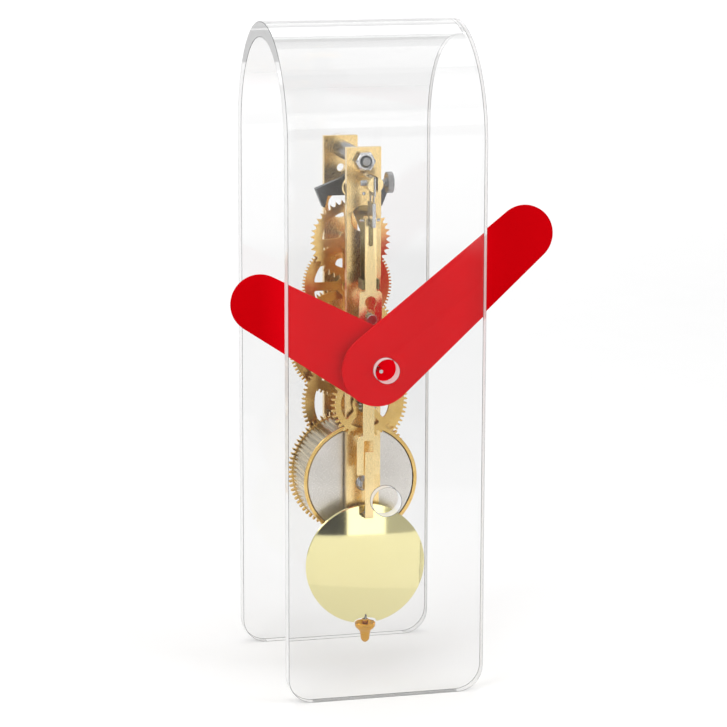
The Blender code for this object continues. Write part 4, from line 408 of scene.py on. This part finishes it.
# Standoffs and case screws. Two turned steel collars hold the rear plate off the rear wall, and
# two slotted cheese-head screws pass through wall, collar and plate.
satin_steel = ground_metal("satin_steel", dark=(0.62, 0.59, 0.55), light=(0.84, 0.81, 0.76), rough=0.32,
                           grain=(1500, 9000, 4000), relief=0.05)
bright_steel = ground_metal("bright_steel", dark=(0.46, 0.46, 0.47), light=(0.66, 0.66, 0.66), rough=0.20,
                            grain=(7000, 700, 7000), relief=0.05)
standoff_bore, standoff_radius = 0.00215, 0.00525
shank_radius, head_radius, head_front_y, head_round = 0.00185, 0.0036, 0.0873, 0.0003
slot_depth, slot_half_width, slot_corner = 0.0010, 0.00045, 0.0002


def half_discs(bm, radius, half_gap, blank_radius, steps, depth, corner):
    """Make the two halves that a straight slot leaves standing on a turned blank."""
    swing = acos(half_gap / blank_radius)
    for side in (0, pi):
        wire(bm, sweep(radius, -swing + side, swing + side, steps))
    fill_and_thicken(bm, depth, corner, 2)


for end, z in (("upper", upper_pillar_z), ("lower", lower_pillar_z)):
    low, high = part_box("rear_standoff_" + end)
    bm = bmesh.new()
    turn(bm, ring_profile(standoff_bore, standoff_radius, low[1], high[1], 0.00035), (0, 0, z), sides=56)
    put(end + "_standoff", bm, frame_body, satin_steel, ["rear_standoff_" + end])

    low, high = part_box("case_screw_" + end)
    slot_floor = high[1] - slot_depth
    bm = bmesh.new()
    half_discs(bm, head_radius - head_round, slot_half_width, head_radius, 20, slot_depth, slot_corner)
    bmesh.ops.rotate(bm, verts=bm.verts[:], cent=(0, 0, 0), matrix=Matrix.Rotation(pi / 2, 3, "Y"))
    move_to(bm, y=slot_floor, z=z)
    turn(bm, [(0, low[1]), (shank_radius, low[1]), (shank_radius, head_front_y),
              (head_radius - slot_corner, head_front_y), (head_radius, head_front_y + head_round),
              (head_radius, slot_floor), (0, slot_floor)], (0, 0, z))
    put(end + "_case_screw", bm, frame_body, bright_steel, ["case_screw_" + end])


# Upper nut. A hexagon of drawn steel bar, chamfered round its face and countersunk round its
# thread, which holds the front plate on the upper pillar.
def cut_away(bm, tools, operation="DIFFERENCE"):
    """Cut tool bodies out of a solid, or keep what they share, and hand back the result."""
    body_mesh = bpy.data.meshes.new("blank")
    bm.to_mesh(body_mesh)
    bm.free()
    blank = bpy.data.objects.new("blank", body_mesh)
    bpy.context.scene.collection.objects.link(blank)
    helpers = []
    for tool in tools:
        tool_mesh = bpy.data.meshes.new("tool")
        tool.to_mesh(tool_mesh)
        tool.free()
        helper = bpy.data.objects.new("tool", tool_mesh)
        bpy.context.scene.collection.objects.link(helper)
        cut = blank.modifiers.new("cut", "BOOLEAN")
        cut.object, cut.operation, cut.solver = helper, operation, "EXACT"
        helpers.append(helper)
    bpy.context.view_layer.update()
    result = bmesh.new()
    result.from_object(blank, bpy.context.evaluated_depsgraph_get())
    for helper in [blank] + helpers:
        bpy.data.objects.remove(helper)
    return result


nut_front, nut_back = (corner[1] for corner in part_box("nut_front_upper"))
across_flats, nut_bore, nut_round, face_radius = 0.007, 0.0021, 0.0043, 0.0031
countersink, chamfer_depth, overlap = 0.0004, 0.0008, 0.0001
nut_corner = across_flats / sqrt(3)
bm = bmesh.new()
wire(bm, [(nut_corner * cos(pi * k / 3), nut_corner * sin(pi * k / 3)) for k in range(6)])
fill_and_thicken(bm, nut_back - nut_front)
move_to(bm, y=nut_front, z=upper_pillar_z)
dome = bmesh.new()
turn(dome, [(nut_bore, nut_front + countersink), (nut_bore + countersink, nut_front - overlap),
            (face_radius, nut_front - overlap), (nut_round, nut_front + chamfer_depth),
            (nut_round, nut_back + overlap), (nut_bore, nut_back + overlap)],
     (0, 0, upper_pillar_z), sides=48)
bm = cut_away(bm, [dome], "INTERSECT")
break_edges(bm, 0.00006)
put("hexagon_nut", bm, frame_body, bright_steel, ["nut_front_upper"])


# Suspension post. A turned brass post riveted in the front plate, its end sawn across to take
# the upper block of the suspension spring.
strip_brass = ground_metal("strip_brass", dark=(0.95, 0.71, 0.33), light=(0.99, 0.80, 0.44), rough=0.22,
                           grain=(12000, 12000, 900), relief=0.015)
post_front, post_back = (corner[1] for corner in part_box("suspension_post"))
post_radius, post_neck, saw_depth, saw_half_width = 0.0031, 0.0019, 0.0105, 0.00075
shoulder_y = front_y - seat_gap
bm = bmesh.new()
half_discs(bm, post_radius, saw_half_width, post_radius, 18, saw_depth, 0.00018)
move_to(bm, y=post_front, z=post_z)
turn(bm, [(0, post_front + saw_depth), (post_radius, post_front + saw_depth), (post_radius, shoulder_y),
          (post_neck, shoulder_y), (post_neck, post_back), (0, post_back)], (0, 0, post_z))
put("split_post", bm, frame_body, strip_brass, ["suspension_post"])


# Thumbscrew. A steel screw that clamps the block in the post, its head knurled with straight
# grooves and turned with a low boss in the middle.
def toothed_rim(bm, teeth, phase, tooth):
    """Copy one tooth, a list of (radius, angle), round the rim."""
    step = 2 * pi / teeth
    points = tooth + [(tooth[0][0], tooth[0][1] + step)]
    before = set(bm.verts)
    edges = wire(bm, [(r * cos(a + phase), r * sin(a + phase)) for r, a in points], closed=False)
    verts = [v for v in bm.verts if v not in before]
    bmesh.ops.spin(bm, geom=verts + edges, cent=(0, 0, 0), axis=(0, -1, 0), angle=2 * pi, steps=teeth,
                   use_duplicate=True)
    bmesh.ops.remove_doubles(bm, verts=[v for v in bm.verts if v not in before], dist=1e-6)


low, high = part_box("thumbscrew")
screw_y, screw_z = (low[1] + high[1]) / 2, (low[2] + high[2]) / 2
knurl_ridges, knurl_crest, knurl_floor = 36, 0.0041, 0.00385
head_thickness, collar_radius, screw_radius = 0.0023, 0.0019, 0.0011
head_back_x, collar_back_x = high[0] - head_thickness, high[0] - 0.0030
boss_radius, boss_rise, knurl = 0.0016, 0.0001, 2 * pi / knurl_ridges
bm = bmesh.new()
toothed_rim(bm, knurl_ridges, 0, [(knurl_crest, 0), (knurl_crest, knurl * 0.4), (knurl_floor, knurl * 0.7)])
fill_and_thicken(bm, head_thickness, 0.0003, 2)
lay_over = Matrix.Translation((head_back_x, screw_y, screw_z)) @ Matrix.Rotation(-pi / 2, 4, "Z")
bmesh.ops.transform(bm, matrix=lay_over, verts=bm.verts[:])
turn(bm, [(0, low[0]), (screw_radius, low[0]), (screw_radius, collar_back_x), (collar_radius, collar_back_x),
          (collar_radius, head_back_x), (0, head_back_x)], (0, screw_y, screw_z), "X", 24)
turn(bm, [(0, high[0] - boss_rise), (boss_radius, high[0] - boss_rise), (boss_radius - 0.0002, high[0]),
          (0, high[0])], (0, screw_y, screw_z), "X", 24)
put("knurled_thumbscrew", bm, "thumbscrew", grey_steel, ["thumbscrew"])


# Wheels of the train and the motion work. Stamped and crossed out of brass sheet, their teeth
# cut in one pass, each riveted to a small collet on its arbor.
wheel_brass = ground_metal("wheel_brass", dark=(0.71, 0.44, 0.12), light=(0.89, 0.64, 0.25), rough=0.20,
                           grain=(9000, 9000, 9000), relief=0.03)
tooth_corner, collet_corner, arm_fillet = 0.00007, 0.00015, 0.0010
tooth_height, shoulder_height, shoulder_share, tooth_share = 1.3, 0.75, 0.68, 0.46


def tooth_of(teeth, pitch_radius):
    """One rounded tooth: its heights go by the module, its width by its share of the pitch."""
    module, half = 2 * pitch_radius / teeth, pi / teeth * tooth_share
    root, tip = pitch_radius - tooth_height * module, pitch_radius + tooth_height * module
    shoulder, narrow = pitch_radius + shoulder_height * module, half * shoulder_share
    return [(root, -half), (pitch_radius, -half), (shoulder, -narrow), (tip, 0), (shoulder, narrow),
            (pitch_radius, half), (root, half)]


def eased(points, radius):
    """Round the sharp corners of a closed outline."""
    rounded = []
    for k, point in enumerate(points):
        here, before, after = Vector(point), Vector(points[k - 1]), Vector(points[(k + 1) % len(points)])
        back, on = before - here, after - here
        if pi - back.angle(on) < 0.6:
            rounded.append(point)
            continue
        reach = min(radius, back.length * 0.8, on.length * 0.8)
        start, end = here + back.normalized() * reach, here + on.normalized() * reach
        for share in (0, 0.25, 0.5, 0.75, 1):
            rest = 1 - share
            rounded.append(tuple(start * rest ** 2 + here * 2 * share * rest + end * share ** 2))
    return rounded


def cross_out(bm, rim, hub, arm, first, arms=4):
    """Wires of the openings between a wheel's arms, one copied round the others."""
    outer, inner, turned = asin(arm / 2 / rim), asin(arm / 2 / hub), 2 * pi / arms
    before = set(bm.verts)
    opening = sweep(rim, first + outer, first + turned - outer, 12)
    opening += sweep(hub, first + turned - inner, first + inner, 3)
    edges = wire(bm, eased(opening, arm_fillet))
    verts = [v for v in bm.verts if v not in before]
    bmesh.ops.spin(bm, geom=verts + edges, cent=(0, 0, 0), axis=(0, -1, 0), angle=turned * (arms - 1),
                   steps=arms - 1, use_duplicate=True)


def cut_wheel(node, body, teeth, tooth, at, thickness, bore, phase=0, openings=None, collet=None):
    """Cut a wheel at (x, z); its openings are given as (rim, hub, arm width, first arm)."""
    low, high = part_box(node)
    web_y = high[1] - thickness
    bm = bmesh.new()
    toothed_rim(bm, teeth, phase, tooth)
    drilled_circle(bm, bore, sides=24)
    if openings:
        cross_out(bm, *openings)
    fill_and_thicken(bm, thickness, tooth_corner)
    move_to(bm, at[0], web_y, at[1])
    if collet:
        turn(bm, ring_profile(bore, collet, low[1], web_y, collet_corner), (at[0], 0, at[1]), sides=32)
    put(node + "_cut", bm, body, wheel_brass, [node])


def pitch_radius_of(teeth, mate, distance):
    """A wheel's share of the distance between two arbors goes by its teeth."""
    return distance * teeth / (teeth + mate)


def arms_of(teeth, pitch_radius, first, rim_width=0.0037, hub=0.0042, arm=0.0034):
    """Openings that leave a rim of the given width under the roots of the teeth."""
    root = pitch_radius - tooth_height * 2 * pitch_radius / teeth
    return (root - rim_width, hub, arm, first)


great_radius = pitch_radius_of(80, 10, 0.02742)
second_radius = pitch_radius_of(72, 8, 0.02366)
centre_radius = pitch_radius_of(88, 9, 0.0243)
third_radius = pitch_radius_of(84, 7, 0.01945)
minute_radius = pitch_radius_of(36, 14, 0.018)
hour_radius = pitch_radius_of(56, 12, 0.018)
arbor_bore, train_collet, barrel_bore = 0.0013, 0.0024, 0.0032
cut_wheel("great_wheel", "barrel", 80, tooth_of(80, great_radius), (0, barrel_axis_z),
          thickness=0.0016, bore=barrel_bore)
cut_wheel("second_wheel", "second", 72, tooth_of(72, second_radius), (second_x, second_z),
          thickness=0.0014, bore=0.0018, openings=arms_of(72, second_radius, pi / 4), collet=0.0027)
cut_wheel("centre_wheel", "centre", 88, tooth_of(88, centre_radius), (0, hand_axis_z),
          thickness=0.0012, bore=arbor_bore, openings=arms_of(88, centre_radius, pi / 4), collet=train_collet)
cut_wheel("third_wheel", "third", 84, tooth_of(84, third_radius), (0, third_z),
          thickness=0.0012, bore=arbor_bore, openings=arms_of(84, third_radius, 0), collet=train_collet)
cut_wheel("minute_wheel", "minute_wheel_set", 36, tooth_of(36, minute_radius), (0, minute_stud_z),
          thickness=0.0012, bore=arbor_bore, phase=pi / 2,
          openings=arms_of(36, minute_radius, pi / 4, rim_width=0.0023, hub=0.0050, arm=0.0022))
cut_wheel("hour_wheel", "hour", 56, tooth_of(56, hour_radius), (0, hand_axis_z),
          thickness=0.0015, bore=0.0021, phase=-pi / 2, collet=0.0027)


# Escape wheel. Forty pointed teeth that lean the way the wheel turns, a broad rim and four arms,
# cut from the same brass as the train.
escape_teeth, escape_root, escape_shoulder, escape_tip = 40, 0.0148, 0.0153, 0.0164
step = 2 * pi / escape_teeth
pointed_tooth = [(escape_root, 0), (escape_shoulder, step * 0.16), (escape_tip, step * 0.36),
                 (escape_tip, step * 0.40), (escape_shoulder, step * 0.58), (escape_root, step * 0.74),
                 (escape_root - 0.00012, step * 0.87)]
escape_rim, escape_hub, escape_arm = 0.0117, 0.0046, 0.0030
cut_wheel("escape_wheel", "escape", escape_teeth, pointed_tooth, (0, escape_z), thickness=0.0012, bore=0.0010,
          openings=(escape_rim, escape_hub, escape_arm, radians(6)), collet=train_collet)


# Barrel. A drawn brass drum with a turned rim, polished in the lathe and streaked light and dark along its
# side, the streaks partly grain and partly painted sheen, and a steel cover snapped into it and ground
# straight across.
# Its light and dark streaks are painted sheen for the bands of highlight round a polished drum, as well as
# grain.
drum_brass = ground_metal("drum_brass", dark=(0.20, 0.155, 0.09), light=(0.88, 0.76, 0.52), rough=0.22,
                          grain=(1100, 30, 1100), relief=0.01, streaks=0.65)
drum_radius, drum_bore, cover_radius = 0.0232, 0.0218, 0.0215
drum_front, drum_back = (corner[1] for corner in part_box("barrel_drum"))
drum_floor, rim_back, drum_corner, lip_corner = drum_back - 0.0015, drum_front + 0.0004, 0.0002, 0.0001
barrel_at = (0, 0, barrel_axis_z)
bm = bmesh.new()
turn(bm, [(drum_bore, rim_back), (drum_radius, rim_back), (drum_radius, drum_back - drum_corner),
          (drum_radius - drum_corner, drum_back), (barrel_bore, drum_back), (barrel_bore, drum_floor),
          (drum_bore, drum_floor)], barrel_at, sides=144)
put("drawn_drum", bm, "barrel", drum_brass, ["barrel_drum"])
bm = bmesh.new()
turn(bm, [(drum_bore, drum_front + lip_corner), (drum_bore + lip_corner, drum_front),
          (drum_radius - drum_corner, drum_front), (drum_radius, drum_front + drum_corner),
          (drum_radius, rim_back), (drum_bore, rim_back)], barrel_at, sides=144)
put("turned_drum_rim", bm, "barrel", wheel_brass)
low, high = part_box("barrel_cover")
bm = bmesh.new()
turn(bm, ring_profile(barrel_bore, cover_radius, low[1], high[1], 0.00015), barrel_at, sides=144)
put("snapped_cover", bm, "barrel", satin_steel, ["barrel_cover"])


# Hands. Two bars of sheet metal that taper between round ends, their front edges eased, sprayed
# with a deep red satin lacquer that shows a very fine orange peel. The red is painted lighter about the hub,
# painted light that falls off towards the tips.
red_lacquer, tree, shader, place = new_finish("red_satin_lacquer")
cloud = noise(tree, place, 40, detail=3.0)
peel = noise(tree, place, 2200, detail=1.0)
sides = tree.nodes.new("ShaderNodeSeparateXYZ")
tree.links.new(place, sides.inputs["Vector"])
from_middle = combine(tree, "ABSOLUTE", sides.outputs["X"])
# The red runs lighter about the hub and darker towards the tips: painted light.
towards_tip = remap(tree, from_middle, 0.03393, 0.04595, 0.0, 1.0)
lacquer_and_painted_light = combine(tree, "MULTIPLY_ADD", towards_tip, -0.85, spread(tree, cloud, 0.85, 1.0))
tree.links.new(tint(tree, lacquer_and_painted_light, (0.52, 0.0005, 0.003), (0.72, 0.001, 0.006)), shader.inputs["Base Color"])
tree.links.new(spread(tree, cloud, 0.40, 0.50), shader.inputs["Roughness"])
shader.inputs["Specular IOR Level"].default_value = 0.0
surface_grain(tree, shader, peel, 0.08)
hub_radius, tip_radius = 0.0145, 0.0114
front_layer, back_layer, front_corner = 0.0005, 0.0010, 0.00018


def lacquered_hand(node, body, reach, clockwise, hole, seat):
    """A hand that points clockwise from the top, its hole wider behind where it seats."""
    aim = pi / 2 - radians(clockwise)
    touch = acos((hub_radius - tip_radius) / reach)
    outline = (sweep(tip_radius, aim - touch, aim + touch, 48, reach * cos(aim), reach * sin(aim))
               + sweep(hub_radius, aim + touch, aim + 2 * pi - touch, 48))
    bm = bmesh.new()
    wire(bm, outline)
    drilled_circle(bm, hole, sides=32)
    fill_and_thicken(bm, front_layer)
    front_edges = [e for e in sharp_edges(bm) if all(abs(v.co.y) < 1e-7 for v in e.verts)]
    break_edges(bm, front_corner, 3, front_edges)
    back = bmesh.new()
    wire(back, outline)
    drilled_circle(back, seat, sides=32)
    fill_and_thicken(back, back_layer)
    move_to(back, y=front_layer)
    mesh = bpy.data.meshes.new(node + "_back")
    back.to_mesh(mesh)
    back.free()
    bm.from_mesh(mesh)
    bpy.data.meshes.remove(mesh)
    move_to(bm, y=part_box(node)[0][1], z=hand_axis_z)
    put(node + "_lacquered", bm, body, red_lacquer, [node])


lacquered_hand("minute_hand", "centre", reach=0.0776, clockwise=49.4, hole=0.0011, seat=0.0021)
lacquered_hand("hour_hand", "hour", reach=0.0527, clockwise=-59.7, hole=0.0021, seat=0.0030)


# Bob. A lens spun from brass and polished to a mirror, pierced for the rod's tab, notched at the
# foot for the rating nut and drilled from slot to notch for the rating screw.
pale_brass = ground_metal("pale_polished_brass", dark=(0.80, 0.73, 0.36), light=(0.88, 0.81, 0.45),
                          rough=0.05, grain=(900, 900, 900), relief=0.005)
low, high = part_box("bob")
bob_radius, bob_thickness, bob_rim = 0.0243, 0.0042, 0.0016
bob_y, bob_z, bob_foot_z = (low[1] + high[1]) / 2, low[2] + bob_radius, low[2]
bulge = (bob_thickness - bob_rim) / 2
curve = (bob_radius ** 2 + bulge ** 2) / (2 * bulge)
face_steps, face_share, rim_share, rim_inset, rim_depth = 16, 0.994, 0.82, 0.0001, 0.0006
face = []
for k in range(face_steps + 1):
    radius = bob_radius * k / face_steps * face_share
    face.append((radius, bob_thickness / 2 - curve + sqrt(curve ** 2 - radius ** 2)))
rim_round = []
for a in (60, 30, 0, -30, -60):
    inwards = rim_inset + rim_depth * (1 - cos(radians(a)))
    rim_round.append((bob_radius - inwards, bob_rim / 2 * rim_share * sin(radians(a))))
other_face = [(radius, -along) for radius, along in reversed(face)]
bm = bmesh.new()
turn(bm, face + rim_round + other_face, (0, bob_y, bob_z), sides=160)


def block_tool(points, depth=0.01):
    tool = bmesh.new()
    wire(tool, points)
    fill_and_thicken(tool, depth)
    move_to(tool, y=bob_y - depth / 2)
    return tool


slot_z, slot_half, slot_rise = 0.0654, 0.0019, 0.0011
notch_half, notch_rise, notch_sill, notch_below = 0.0046, 0.0022, bob_foot_z + 0.0002, bob_foot_z - 0.002
screw_bore = 0.0012
slot_tool = block_tool([(-slot_half, slot_z - slot_rise), (slot_half, slot_z - slot_rise),
                        (slot_half, slot_z + slot_rise), (-slot_half, slot_z + slot_rise)])
notch_arch = [(notch_half * cos(radians(a)), notch_sill + notch_rise * sin(radians(a)) ** 0.6)
              for a in range(0, 181, 12)]
notch_tool = block_tool([(-notch_half, notch_below), (notch_half, notch_below)] + notch_arch)
bore_tool = bmesh.new()
turn(bore_tool, rod_profile(screw_bore, bob_foot_z, slot_z, 0.0001), (0, bob_y, 0), "Z", 24)
bm = cut_away(bm, [slot_tool, notch_tool, bore_tool])
put("polished_lens", bm, "bob", pale_brass, ["bob"])


# Rating nut and screw. The brass nut is turned with a broad thin rim and a small tip, and its
# neck stands in the bob's notch. The steel screw has a fine thread from end to end.
nut_brass = ground_metal("nut_brass", dark=(0.58, 0.28, 0.035), light=(0.75, 0.42, 0.08), rough=0.14,
                         grain=(6000, 6000, 6000))
low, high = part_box("rating_nut")
rim_top, nut_neck_top, nut_foot, thread_floor = 0.0208, high[2], low[2], 0.0133
thread_bore, neck_radius, tip_hole = 0.00095, 0.0013, 0.0004
neck_profile = [(thread_bore, thread_floor), (thread_bore, nut_neck_top), (neck_radius, nut_neck_top)]
rim_profile = [(radius, rim_top - drop) for radius, drop in (
    (neck_radius, 0.0016), (0.0024, 0.0016), (0.0036, 0.0001), (0.0039, 0.0), (0.0041, 0.0002),
    (0.0041, 0.0014), (0.0040, 0.0017), (0.0034, 0.0025), (0.0027, 0.0031), (0.0022, 0.0038),
    (0.0020, 0.0046), (0.0018, 0.0060), (0.0017, 0.0069), (0.0014, 0.0075))]
tip_profile = [(0.0009, nut_foot + 0.0002), (0.0006, nut_foot), (tip_hole, nut_foot),
               (tip_hole, nut_foot + 0.0004), (tip_hole, thread_floor - 0.0002)]
bm = bmesh.new()
turn(bm, neck_profile + rim_profile + tip_profile, (0, bob_y, 0), "Z", 64)
put("turned_rating_nut", bm, "nut", nut_brass, ["rating_nut"], 25)

low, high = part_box("rating_screw")
thread_top, pitch, root_radius, crest_radius = 0.0245, 0.0004, 0.00062, 0.00075
plain_radius, screw_head_radius, screw_head_z, head_corner = 0.00070, 0.0013, high[2] - 0.0006, 0.0002
ridges = []
for k in range(int((thread_top - low[2]) / pitch)):
    ridges += [(root_radius, low[2] + pitch * k), (crest_radius, low[2] + pitch * (k + 0.5))]
screw_head = [(plain_radius, screw_head_z), (screw_head_radius, screw_head_z),
              (screw_head_radius, high[2] - head_corner), (screw_head_radius - head_corner, high[2]),
              (0, high[2])]
bm = bmesh.new()
turn(bm, [(0, low[2])] + ridges + [(plain_radius, thread_top + 0.0002)] + screw_head, (0, bob_y, 0), "Z", 20)
put("threaded_rating_screw", bm, "pendulum", bright_steel, ["rating_screw"], 50)


# Small strips, anchor and fittings. Brass and steel pieces filed to shape and stoned by hand,
# which leaves a narrow bright line along every edge. The crutch is in a much darker brass.
dark_brass = ground_metal("dark_brass", dark=(0.20, 0.16, 0.07), light=(0.34, 0.28, 0.13), rough=0.30,
                          grain=(9000, 9000, 900))
hand_finished = {"leader_upper": strip_brass, "leader_lower": strip_brass, "pendulum_rod": strip_brass,
                 "crutch": dark_brass, "anchor": dark_steel}
for node in ("plate_screw_lower", "ratchet_wheel", "click", "suspension_block_top",
             "suspension_block_lower", "leader_stud", "winding_arbor"):
    hand_finished[node] = bright_steel
stoned_corner, block_left_x, block_right_x = 0.00008, -0.00045, 0.00012
node_body = {node: body for body, nodes in frame["record"]["behaviour"]["bodies"].items() for node in nodes}
for node, finish in hand_finished.items():
    bm = bmesh.new()
    bm.from_mesh(frame["nodes"][node].data)
    if node == "suspension_block_top":
        for vert in bm.verts:
            vert.co.x = block_left_x if vert.co.x < 0 else block_right_x
    bmesh.ops.remove_doubles(bm, verts=bm.verts[:], dist=1e-7)
    bmesh.ops.dissolve_limit(bm, angle_limit=radians(1), verts=bm.verts[:], edges=bm.edges[:])
    break_edges(bm, stoned_corner)
    bmesh.ops.triangulate(bm, faces=[f for f in bm.faces if len(f.verts) > 4])
    put(node + "_stoned", bm, node_body[node], finish, [node])


# Anchor's collet. A turned brass boss with rounded edges, pressed on the arbor to carry the
# anchor.
low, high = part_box("anchor_collet")
bm = bmesh.new()
collet_bore, collet_radius, collet_round = 0.0011, 0.0043, 0.0005
turn(bm, ring_profile(collet_bore, collet_radius, low[1], high[1], collet_round), (0, 0, flex_z), sides=48)
put("turned_anchor_collet", bm, "anchor_set", strip_brass, ["anchor_collet"])


# Arbors, pinions, studs and springs. These small turned and cut pieces stay as the solids draw
# them, each in the finish of its metal.
slot_finish = {"clear_acrylic": clear_acrylic, "brass": wheel_brass, "polished_brass": pale_brass,
               "steel": bright_steel, "satin_steel": satin_steel, "dark_steel": dark_steel,
               "red_hand": red_lacquer}
for entry in frame["record"]["subparts"]:
    for material_slot in frame["nodes"][entry["node"]].material_slots:
        material_slot.material = slot_finish[entry["material_slot"]]


# Table. A pale seamless sheet of paper, a little darker under the clock, from a line just in
# front of it to some way behind. Its front edge runs slantwise in front, where the bob mirrors it.
paper, tree, shader, place = new_finish("white_paper")
fibre = noise(tree, place, 30, detail=3.0)
ahead = tree.nodes.new("ShaderNodeVectorMath")
ahead.operation = "DOT_PRODUCT"
across_x, across_y = 0.930, 0.368
ahead.inputs[1].default_value = (across_y, -across_x, 0)
tree.links.new(place, ahead.inputs[0])


def ramp(value, start, end, low, high):
    """Ease a value of the tree in hand over from low to high."""
    return remap(tree, value, start, end, low, high, eased_ends=True)


in_front = ramp(ahead.outputs["Value"], 0.066, 0.069, 0.0, 1.0)
far_behind = ramp(ahead.outputs["Value"], -1.2, -0.2, 1.0, 0.0)
darker_share = combine(tree, "SUBTRACT", 1.0, combine(tree, "MAXIMUM", in_front, far_behind))
white = combine(tree, "MULTIPLY_ADD", darker_share, -0.10, 0.94)
fibred = combine(tree, "MULTIPLY", white, combine(tree, "MULTIPLY_ADD", fibre, 0.02, 0.99))
tree.links.new(tint(tree, fibred, grey(0), grey(1)), shader.inputs["Base Color"])
shader.inputs["Roughness"].default_value = 0.8

edge_x, edge_y, paper_half_width, paper_length = 0.137, -0.312, 4.0, 4.2
bm = bmesh.new()
front_edge = bm.edges.new([bm.verts.new((edge_x + across_x * along, edge_y + across_y * along, 0))
                           for along in (-paper_half_width, paper_half_width)])
made = bmesh.ops.extrude_edge_only(bm, edges=[front_edge])["geom"]
far_verts = [v for v in made if isinstance(v, bmesh.types.BMVert)]
bmesh.ops.translate(bm, verts=far_verts, vec=(0, paper_length, 0))
mesh = bpy.data.meshes.new("paper_sweep")
bm.to_mesh(mesh)
bm.free()
mesh.shade_smooth()
mesh.materials.append(paper)
paper_sheet = bpy.data.objects.new("paper_sweep", mesh)
bpy.context.scene.collection.objects.link(paper_sheet)


# Studio. A pale backdrop behind the clock and five soft boxes, and in front a grey room for the
# metals and the case to mirror: a lighter ceiling, a bright window, a dark corner beside it and a
# dark patch at the camera. Seen directly, as from behind the clock, the room is a plain pale wall.
world = bpy.data.worlds.new("tent")
world.use_nodes = True
bpy.context.scene.world = world
tree = world.node_tree
background = tree.nodes["Background"]
background.inputs["Color"].default_value = (1, 1, 1, 1)
direction = tree.nodes.new("ShaderNodeTexCoord")
parts = tree.nodes.new("ShaderNodeSeparateXYZ")
tree.links.new(direction.outputs["Generated"], parts.inputs["Vector"])
x, y, z = parts.outputs["X"], parts.outputs["Y"], parts.outputs["Z"]


def times(*values):
    """Multiply values of the world, each a socket or a float."""
    result = values[0]
    for value in values[1:]:
        result = combine(tree, "MULTIPLY", result, value)
    return result


def plus(first, second):
    return combine(tree, "ADD", first, second)


def laid_over(under, over, share):
    """Show over instead of under by a share from 0 to 1."""
    return plus(times(under, combine(tree, "SUBTRACT", 1.0, share)), times(over, share))


towards_camera = tree.nodes.new("ShaderNodeVectorMath")
towards_camera.operation = "DOT_PRODUCT"
towards_camera.inputs[1].default_value = (-0.242, -0.950, 0.199)
tree.links.new(direction.outputs["Generated"], towards_camera.inputs[0])
ceiling = ramp(z, 0.50, 0.90, 0.0, 0.40)
camera_patch = ramp(towards_camera.outputs["Value"], 0.955, 0.985, 1.0, 0.35)
grey_room = times(plus(ramp(z, -0.05, 0.50, 0.60, 0.70), ceiling), camera_patch)

window_edge, corner_edge = (-0.338, -0.325), (-0.177, -0.165)
window_top, window_sill, front_half = (0.03, 0.12), (-0.165, -0.155), (-0.35, -0.30)
window_level, corner_darkening = 1.6, -0.9
sideways = combine(tree, "DIVIDE", x, y)
past_window = ramp(sideways, *corner_edge, 0.0, 1.0)
window_width = combine(tree, "SUBTRACT", ramp(sideways, *window_edge, 0.0, 1.0), past_window)
window_height = times(ramp(y, *front_half, 1.0, 0.0), ramp(z, *window_top, 1.0, 0.0),
                      ramp(z, *window_sill, 0.0, 1.0))
window_light = times(window_width, window_height, window_level)
dark_corner = plus(times(past_window, window_height, corner_darkening), 1.0)
front_room = times(plus(grey_room, window_light), dark_corner)

plain_wall = 1.05
backdrop = plus(ramp(z, 0.02, 0.45, plain_wall, 0.62), ceiling)
all_round = laid_over(front_room, backdrop, ramp(y, 0.0, 0.6, 0.0, 1.0))

light_path = tree.nodes.new("ShaderNodeLightPath")
seen = combine(tree, "MAXIMUM", light_path.outputs["Is Camera Ray"],
               light_path.outputs["Is Transmission Ray"])
mirrored = plus(light_path.outputs["Glossy Depth"], light_path.outputs["Diffuse Depth"])
seen_directly = times(seen, combine(tree, "LESS_THAN", mirrored, 0.5), ramp(y, -0.10, 0.0, 1.0, 0.0))
tree.links.new(laid_over(all_round, plain_wall, seen_directly), background.inputs["Strength"])


def soft_box(name, at, towards, width, height, power):
    light = bpy.data.lights.new(name, "AREA")
    light.shape = "RECTANGLE"
    light.size, light.size_y, light.energy = width, height, power
    made = bpy.data.objects.new(name, light)
    made.location = at
    made.rotation_euler = (Vector(towards) - Vector(at)).to_track_quat("-Z", "Y").to_euler()
    bpy.context.scene.collection.objects.link(made)


clock_middle = (0, 0.04, 0.13)
soft_box("left_box", (-0.9, -0.7, 0.7), clock_middle, 0.6, 0.9, 4.5)
soft_box("right_box", (0.9, -0.5, 0.6), clock_middle, 0.35, 0.9, 2.5)
soft_box("top_box", (0.0, 0.1, 1.1), clock_middle, 0.8, 0.6, 2.0)
soft_box("far_box", (0.0, 3.0, 1.8), (0.0, 3.0, 0.0), 4.0, 2.6, 24)
soft_box("front_table_box", (0.16, -0.55, 0.45), (0.13, -0.24, 0.0), 0.3, 0.2, 0.45)


# Camera. A long lens a little above the clock and to its left, as in the photograph.
azimuth, elevation, roll, distance = radians(-14.31), radians(11.48), radians(0.15), 1.126
focal_pixels, frame_pixels, sensor_mm = 2957, 727, 36
target = Vector((-0.0096, -0.003, 0.1334))
back = Vector((sin(azimuth) * cos(elevation), -cos(azimuth) * cos(elevation), sin(elevation)))
camera = bpy.data.objects.new("camera", bpy.data.cameras.new("camera"))
bpy.context.scene.collection.objects.link(camera)
camera.location = target + back * distance
camera.rotation_mode = "QUATERNION"
camera.rotation_quaternion = back.to_track_quat("Z", "Y") @ Matrix.Rotation(roll, 4, "Z").to_quaternion()
camera.data.lens = focal_pixels / frame_pixels * sensor_mm
camera.data.sensor_width = sensor_mm
bpy.context.scene.camera = camera
bpy.context.scene.view_settings.view_transform = "Standard"
